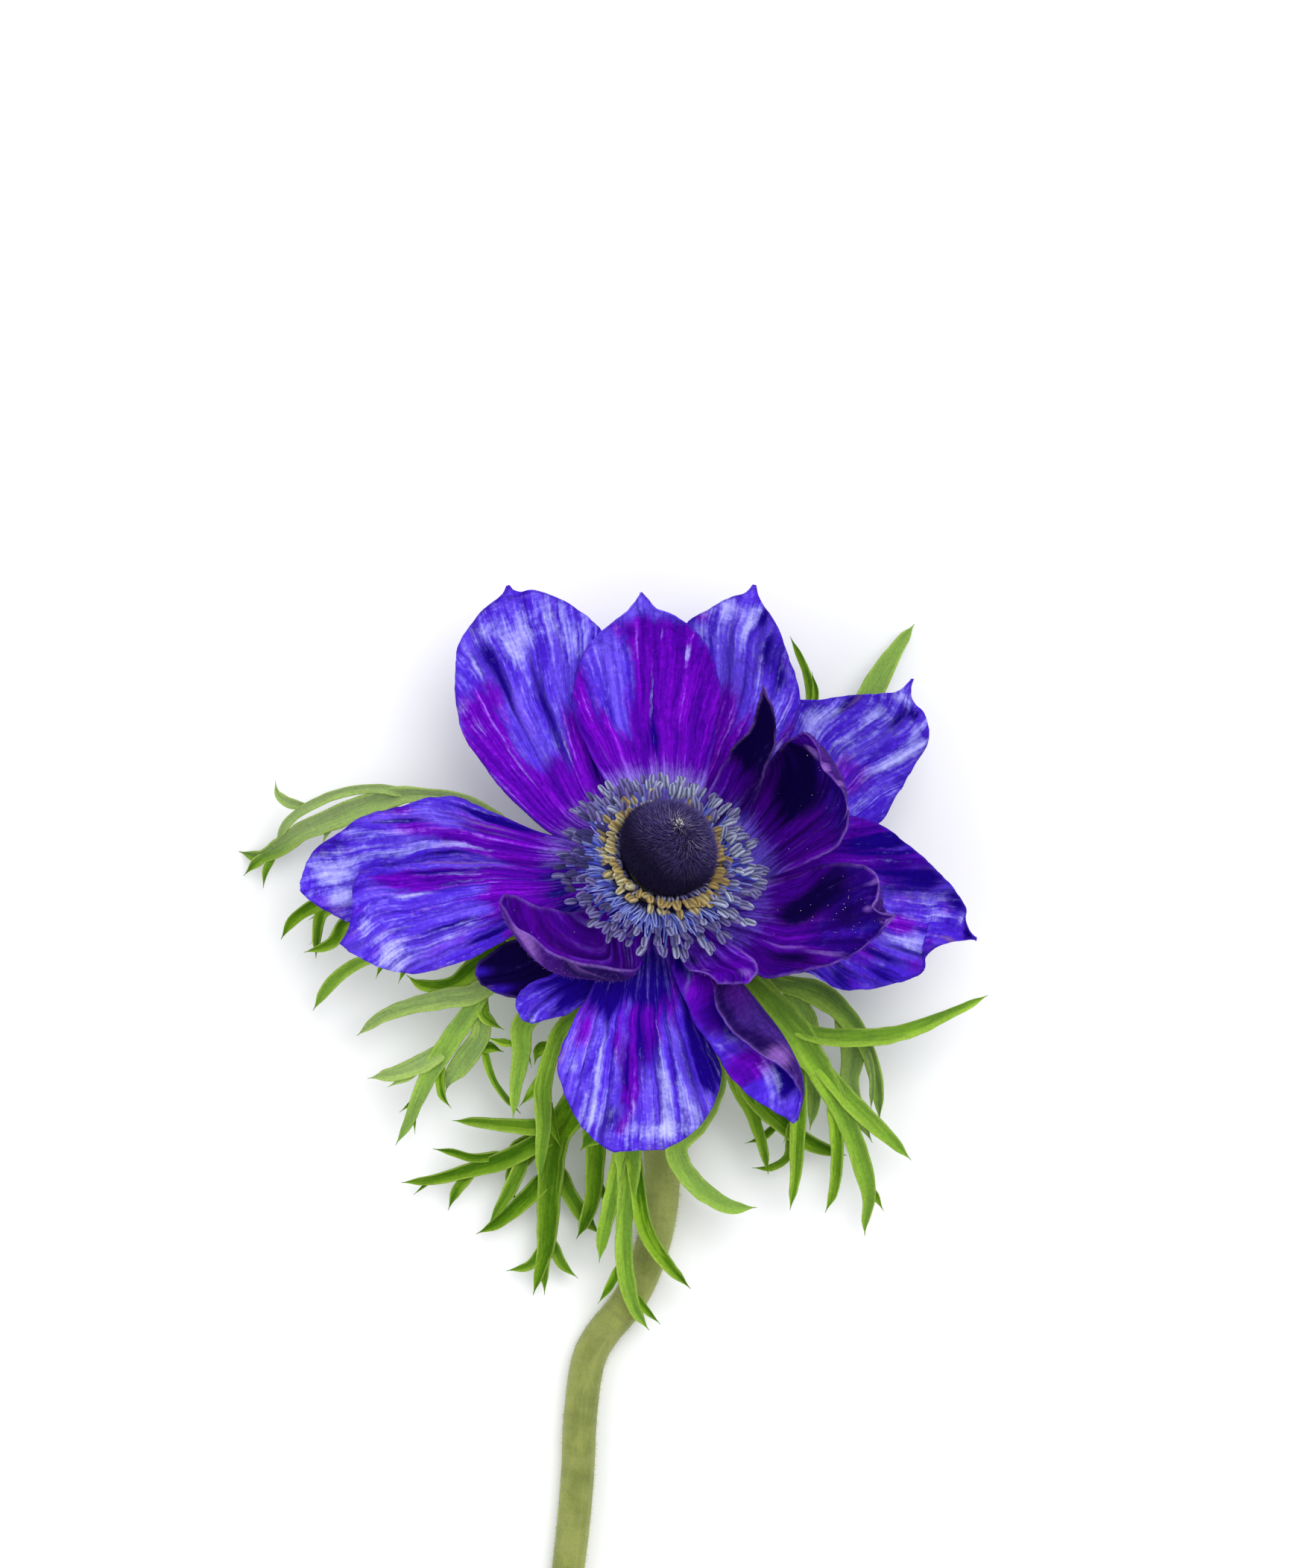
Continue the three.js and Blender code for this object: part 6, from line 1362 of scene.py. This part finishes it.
def towards(angle, way):
    """1 for a stamen on this side of the ring, falling to 0 a quarter round from it."""
    return max(0.0, math.cos(math.radians(angle - way)))


def outer_line(angle, share):
    """Root, bend and tip of an outer stamen. On the open side they all reach far, and the threads show."""
    wide_open = towards(angle, OPEN_SIDE)
    reach = 9.9 + 2.7 * wide_open + (5.3 - 2.4 * wide_open) * share ** 0.8 + rng.uniform(-0.6, 0.6)
    rise = 5.5 - 3.2 * share + rng.uniform(-0.7, 0.8)
    root = around(angle + rng.uniform(-3, 3), rng.uniform(7.2, 8.1), 1.7)
    bend = around(angle, 8 + (reach - 8) * 0.45, 1.9 + (rise - 1.9) * 0.75)
    return root, bend, around(angle + rng.uniform(-4, 4), reach - 0.5, rise)


def make_outer_stamens():
    heap = Heap()
    add_collar(heap, *OUTER_COLLAR)
    for k in range(OUTER_STAMENS):
        angle = k * GOLDEN_ANGLE + rng.uniform(-4, 4)
        root, bend, tip = outer_line(angle, (k + 0.5) / OUTER_STAMENS)
        # Painted light and shade: anthers at the top and right of the ring are lighter and those on the left
        # darker; the rest of the tint is random.
        tint = rng.uniform(0.25, 0.9) + 0.15 * math.sin(math.radians(angle))
        tint = np.clip(tint - 0.45 * towards(angle, 180) ** 4 + 0.2 * towards(angle, 0), 0.05, 1)
        lean = rng.uniform(-0.28, 0.28, 3)
        add_stamen(heap, root, bend, tip, rng.uniform(1.7, 2.4), rng.uniform(0.95, 1.25), tint,
                   rng.uniform(-0.6, 0.6), lean)
    for k in range(BARE_THREADS):
        angle = OPEN_SIDE + rng.normal(0, 65)
        root, bend, tip = outer_line(angle, rng.uniform(0, 0.45))
        add_thread(heap, root, bend, tip, rng.uniform(0.3, 1), 0.35)
    make_heap("stamens_outer_ring", heap, [slate], ["stamens_outer"])


def make_inner_stamens():
    heap = Heap()
    add_collar(heap, *INNER_COLLAR)
    for k in range(GOLD_FIRST_ROW + GOLD_SECOND_ROW):
        first = k < GOLD_FIRST_ROW
        angle = (k / GOLD_FIRST_ROW * 360 if first else k * GOLDEN_ANGLE) + rng.uniform(-3, 3)
        root = around(angle, 6.6, 2.9)
        bend = around(angle, 6.8 if first else 7.5, 4.9 if first else 4.4)
        reach = 7.75 if first else 8.7 + 1.6 * towards(angle, 90)
        reach = reach + lopsided(angle) + rng.uniform(-0.15, 0.3)
        tip = around(angle + rng.uniform(-3, 3), reach, (5.2 if first else 4.3) + rng.uniform(-0.3, 0.3))
        lean = rng.uniform(-0.3, 0.3, 3)
        tint = rng.uniform(0.45, 1) - 0.35 * towards(angle, -10)
        add_stamen(heap, root, bend, tip, rng.uniform(1.5, 2.1), rng.uniform(1.1, 1.35), tint,
                   rng.uniform(-0.7, 0.7), lean)
    make_heap("stamens_inner_ring", heap, [gold], ["stamens_inner"])


make_outer_stamens()
make_inner_stamens()
print("triangles so far:", triangles)

# %% [markdown]
# ## Dome and hairs
# The dome is a ball of hundreds of tiny carpels under short dark fur that lies in whorls, with a
# few pale flecks where it parts at the top. Fur could be a particle system, but that isn't part of
# a mesh and is lost when the part is exported. So each hair is a real sliver with three sides, bent
# once.

# %% Shape hairs
HAIR_LEVELS = [(-0.12, 1.0, 0.0), (0.5, 0.75, 0.22), (1.0, 0.0, 1.0)]
HAIR_FACES = [[2, 1, 0], [0, 1, 4, 3], [1, 2, 5, 4], [2, 0, 3, 5], [3, 4, 6], [4, 5, 6], [5, 3, 6]]
HAIR_SIDES = 3
HAIR_BEND = 0.45


def add_hairs(heap, roots, ahead, bow, long, wide, stray, gleam=1.0):
    """Bent slivers from each root. ahead and bow are directions, the other values one per hair."""
    side = unit(np.cross(ahead, bow))
    up = unit(np.cross(side, ahead))
    circle = spin(full_turn(HAIR_SIDES), side[:, None], up[:, None])
    rows, shares = [], []
    for far, girth, bend in HAIR_LEVELS:
        centre = roots + ahead * (far * long)[:, None] + bow * (bend * HAIR_BEND * long)[:, None]
        ring = centre[:, None] + circle * (wide / 2 * girth)[:, None, None]
        rows.append(ring if girth else ring[:, :1])
        shares += [max(far, 0)] * rows[-1].shape[1]
    vertices = np.concatenate(rows, 1)
    count, each = vertices.shape[:2]
    faces = [[i + each * n for i in face] for n in range(count) for face in HAIR_FACES]
    along = np.tile(shares, count) * np.repeat(gleam * np.ones(count), each)
    heap.add(vertices.reshape(-1, 3), faces, along=along, stray=np.repeat(stray, each))


print("a hair has", sum(len(f) - 2 for f in HAIR_FACES), "triangles")

# %% Make the dome
DOME_RADIUS = 7.3
DOME_HEIGHT = 8.0
DOME_BOTTOM = 1.8
DOME_ROWS = 40
DOME_COLS = 72
FUR_DEPTH = 0.45
DOME_SEED = 71


def dome_spot(direction, x, y, size):
    """1 at a place on the top of the dome, falling off around it."""
    away = (direction @ ACROSS - x) ** 2 + (direction @ UPWARD - y) ** 2
    return np.exp(-away / size) * (direction @ FACE > 0)


def dome_radius(direction):
    """The dome is lopsided and a little lumpy, with a dip at its top."""
    x, y, z = direction @ ACROSS, direction @ UPWARD, direction @ FACE
    wide = lopsided(np.degrees(np.arctan2(y, x))) * (1 - np.clip(z, 0, 1) ** 2)
    lumps = 0.28 * rolling(x * 1.6 + 5, y * 1.6 + z * 1.1 + 5, DOME_SEED)
    lumps = lumps + 0.1 * rolling(x * 5 + 9, y * 5 + 9, DOME_SEED + 1)
    return DOME_RADIUS - FUR_DEPTH + wide + lumps - 0.3 * dome_spot(direction, 0.2, 0.15, 0.05)


def make_dome():
    polar = np.linspace(0.02, math.acos((DOME_BOTTOM - DOME_HEIGHT) / DOME_RADIUS), DOME_ROWS)
    direction = ball(polar, full_turn(DOME_COLS), ACROSS, UPWARD, FACE)
    points = around(0, 0, DOME_HEIGHT) + direction * dome_radius(direction)[..., None]
    vertices = points.reshape(-1, 3)
    faces = [f[::-1] for f in ring_faces(DOME_ROWS, DOME_COLS)]
    make_piece("dome_skin", vertices, faces, [dome_dark], {"grain": vertices}, ["pistil_dome"])


make_dome()

# %% [markdown]
# The hairs start from places spread evenly over the dome, down to where the stamens hide it. They
# lean downwards and swirl one way or the other from place to place. Those that look up to the right
# get a painted highlight, and those low on the dome stay dark as painted shade. A few strays and the
# flecks at the top are pale.

# %% Make the dome's hairs
DOME_SPIRAL = 11890
LOWEST_HAIR = -0.45
DOME_HAIR_LONG = (0.45, 0.9)
DOME_HAIR_WIDE = (0.045, 0.07)
STRAY_SHARE = 0.02
FLECK_PALE = 0.9
GLEAM_LOW = 0.06
GLEAM_MORE = 0.74
FUR_SEED = 81


def ball_directions(count):
    """Evenly spread directions, in a golden spiral from the top down."""
    k = np.arange(count) + 0.5
    height = 1 - 2 * k / count
    level = spin(np.radians(GOLDEN_ANGLE) * k, ACROSS, UPWARD) * np.sqrt(1 - height ** 2)[:, None]
    return level + height[:, None] * FACE


def make_dome_hairs():
    direction = ball_directions(DOME_SPIRAL)
    direction = direction[direction @ FACE > LOWEST_HAIR]
    count = len(direction)
    x, y, z = direction @ ACROSS, direction @ UPWARD, direction @ FACE
    roots = around(0, 0, DOME_HEIGHT) + direction * dome_radius(direction)[:, None]
    swirl = unit(np.cross(direction, FACE + 0.3 * ACROSS))
    down = unit(-FACE + z[:, None] * direction)
    mood = rolling(x * 1.5 + 5, y * 1.5 + 5, FUR_SEED)
    lean = unit(down * 0.8 + swirl * mood[:, None] * 1.6 + rng.normal(0, 0.35, (count, 3)))
    ahead = unit(direction * 0.75 + lean * 0.8)
    long = rng.uniform(*DOME_HAIR_LONG, count)
    wide = rng.uniform(*DOME_HAIR_WIDE, count)
    stray = rng.uniform(0, 0.25, count)
    stray += (rng.uniform(size=count) < STRAY_SHARE) * rng.uniform(0.3, 0.7, count)
    fleck = 0.5 * dome_spot(direction, 0.1, 0.02, 0.05) + 0.25 * dome_spot(direction, 0.45, -0.3, 0.04)
    stray = np.where(rng.uniform(size=count) < fleck, FLECK_PALE, stray)
    # Painted highlight on hairs that look up to the right, and painted shade on those low on the dome.
    high = z + 0.3 * y + 0.5 * x + 0.3 * mood
    gleam = GLEAM_LOW + GLEAM_MORE * smooth_step(high, 0, 1) * rng.uniform(0.35, 1, count)
    heap = Heap()
    add_hairs(heap, roots, ahead, lean, long, wide, stray * gleam, gleam)
    make_heap("dome_fur", heap, [dome_hair])


make_dome_hairs()
print("triangles so far:", triangles)

# %% [markdown]
# Fine pale down covers the stem and the undersides of the dark petals. It shows against the light
# as a soft edge. Crumbs of pollen lie on the top of the dome, and grains of it have fallen on three
# of the dark petals.

# %% Make the down and the pollen
STEM_HAIRS = 4000
STEM_HAIR_LONG = (0.3, 0.65)
STEM_HAIR_WIDE = (0.03, 0.045)
ABOVE_TABLE = 0.1
PETAL_HAIRS = 420
PETAL_HAIR_LONG = (0.2, 0.42)
PETAL_HAIR_WIDE = (0.025, 0.04)
POLLEN_ON = {"petal_05_inner_right": 16, "petal_08_inner_lower_right": 34, "petal_13_inner_boat": 22}
POLLEN_SIZE = 0.11
DOME_CRUMBS = 34
CRUMB_SIZE = (0.08, 0.27)
GRAIN_ROWS = 5
GRAIN_COLS = 7
FUR_TOP = (0.2, 0.5)


def make_stem_down():
    rings = stem_rings()
    pick = rng.integers(4, len(rings) - 6, STEM_HAIRS)
    centre, along, radius = [np.array(column) for column in zip(*(rings[i] for i in pick))]
    side, up = level_frame(along)
    out = spin(rng.uniform(-0.25 * math.pi, 1.25 * math.pi, STEM_HAIRS), side, up)
    ahead = unit(out + rng.normal(0, 0.2, out.shape))
    roots = centre + out * radius[:, None] + along * rng.uniform(-0.4, 0.4, STEM_HAIRS)[:, None]
    long = rng.uniform(*STEM_HAIR_LONG, STEM_HAIRS)
    wide = rng.uniform(*STEM_HAIR_WIDE, STEM_HAIRS)
    stray = rng.uniform(0, 1, STEM_HAIRS)
    keep = (roots + ahead)[:, 2] > ABOVE_TABLE
    heap = Heap()
    add_hairs(heap, *[values[keep] for values in (roots, ahead, along, long, wide, stray)])
    make_heap("stem_down", heap, [pale_hair])


def make_petal_down():
    heap = Heap()
    for spec in PETALS:
        if spec.get("dark"):
            grid = petal_surface(spec, 60, 41)[0]
            i = rng.integers(16, 58, PETAL_HAIRS)
            j = rng.integers(1, 40, PETAL_HAIRS)
            normal = surface_normal(grid)[i, j]
            roots = grid[i, j] - normal * PETAL_MIDDLE / 2
            ahead = unit(rng.normal(0, 0.4, (PETAL_HAIRS, 3)) - normal)
            bow = unit(np.gradient(grid, axis=0)[i, j])
            long = rng.uniform(*PETAL_HAIR_LONG, PETAL_HAIRS)
            wide = rng.uniform(*PETAL_HAIR_WIDE, PETAL_HAIRS)
            add_hairs(heap, roots, ahead, bow, long, wide, rng.uniform(0, 0.7, PETAL_HAIRS))
    make_heap("petal_down", heap, [lilac_hair])


def add_grain(heap, middle, size, yellow=0.2):
    """A grain of pollen: a small lumpy ball."""
    round_form = ball(np.linspace(0.25, math.pi - 0.25, GRAIN_ROWS), full_turn(GRAIN_COLS), *np.eye(3))
    vertices = middle + round_form.reshape(-1, 3) * size / 2 * rng.uniform(0.6, 1.3, 3)
    faces = [f[::-1] for f in ring_faces(GRAIN_ROWS, GRAIN_COLS)]
    heap.add(vertices, faces, along=rng.uniform(0, 1 - yellow), stray=rng.uniform(0, 0.4) + yellow / 2)


def make_pollen():
    heap = Heap()
    for _ in range(DOME_CRUMBS):
        direction = unit(FACE + ACROSS * rng.normal(0.08, 0.1) + UPWARD * rng.normal(0.02, 0.07))
        middle = around(0, 0, DOME_HEIGHT) + direction * (dome_radius(direction) + rng.uniform(*FUR_TOP))
        add_grain(heap, middle, rng.uniform(*CRUMB_SIZE), 0.8)
    for number, spec in enumerate(PETALS):
        if spec["name"] in POLLEN_ON:
            *_, grid, normal = hilly_petal(spec, number)
            for _ in range(POLLEN_ON[spec["name"]]):
                i = int(np.clip(rng.normal(0.55, 0.14), 0.3, 0.9) * (PETAL_ROWS - 1))
                j = int(np.clip(rng.normal(0.5, 0.2), 0.1, 0.9) * (PETAL_COLS - 1))
                middle = grid[i, j] + normal[i, j] * PETAL_MIDDLE / 2
                add_grain(heap, middle, POLLEN_SIZE * rng.uniform(0.6, 1.4))
    make_heap("pollen_grains", heap, [pollen])


make_stem_down()
make_petal_down()
make_pollen()
print("triangles in all:", triangles)

# %% [markdown]
# ## Floor, light and camera
# The flower lies on a plain white table in soft light, as for a catalogue. A large lamp to the upper
# right gives form, a weaker one from the left fills the shade, and a pale sky lights the rest. The
# camera looks straight down from the height that the measures were taken from. The display is set to
# Standard, because the usual one greys strong violets, and these petals are as violet as paint gets.

# %% Set the stage
TABLE_SIZE = 3.0
TABLE_WHITE = (0.93, 0.93, 0.93, 1)
LAMP_TARGET = (0, 0.04, 0.02)
SKY_COLOUR = (0.97, 0.98, 1.0, 1)
SKY_STRENGTH = 0.9
VIEW_TALL = 232.5
SENSOR = 36.0


def make_table():
    mesh = bpy.data.meshes.new("table_top")
    half = TABLE_SIZE / 2
    corners = [(-half, -half, 0), (half, -half, 0), (half, half, 0), (-half, half, 0)]
    mesh.from_pydata(corners, [], [(0, 1, 2, 3)])
    p = Paint("table_white", 0.85)
    p.colour(TABLE_WHITE)
    mesh.materials.append(p.material)
    table = bpy.data.objects.new("table_top", mesh)
    bpy.context.scene.collection.objects.link(table)


def add_lamp(name, place, size, power):
    data = bpy.data.lights.new(name, "AREA")
    data.shape = "DISK"
    data.size = size
    data.energy = power
    lamp = bpy.data.objects.new(name, data)
    lamp.location = place
    lamp.rotation_mode = "QUATERNION"
    lamp.rotation_quaternion = (Vector(LAMP_TARGET) - Vector(place)).to_track_quat("-Z", "Y")
    bpy.context.scene.collection.objects.link(lamp)


def add_sky():
    world = bpy.data.worlds.new("pale_sky")
    world.use_nodes = True
    sky = world.node_tree.nodes["Background"].inputs
    sky["Color"].default_value = SKY_COLOUR
    sky["Strength"].default_value = SKY_STRENGTH
    bpy.context.scene.world = world


def add_camera():
    data = bpy.data.cameras.new("camera")
    data.sensor_width = SENSOR
    data.lens = SENSOR * (EYE_HEIGHT - HEAD[2]) / VIEW_TALL
    data.clip_start = 0.05
    data.clip_end = 20
    camera = bpy.data.objects.new("camera", data)
    camera.location = (np.array([*EYE, EYE_HEIGHT]) - ORIGIN) * MM
    bpy.context.scene.collection.objects.link(camera)
    bpy.context.scene.camera = camera
    print("lens:", round(data.lens, 1), "mm")


make_table()
add_lamp("key_lamp", (0.3, 0.42, 1.0), 0.8, 5.4)
add_lamp("fill_lamp", (-0.8, -0.1, 0.8), 0.7, 2)
add_sky()
add_camera()
bpy.context.scene.view_settings.view_transform = "Standard"
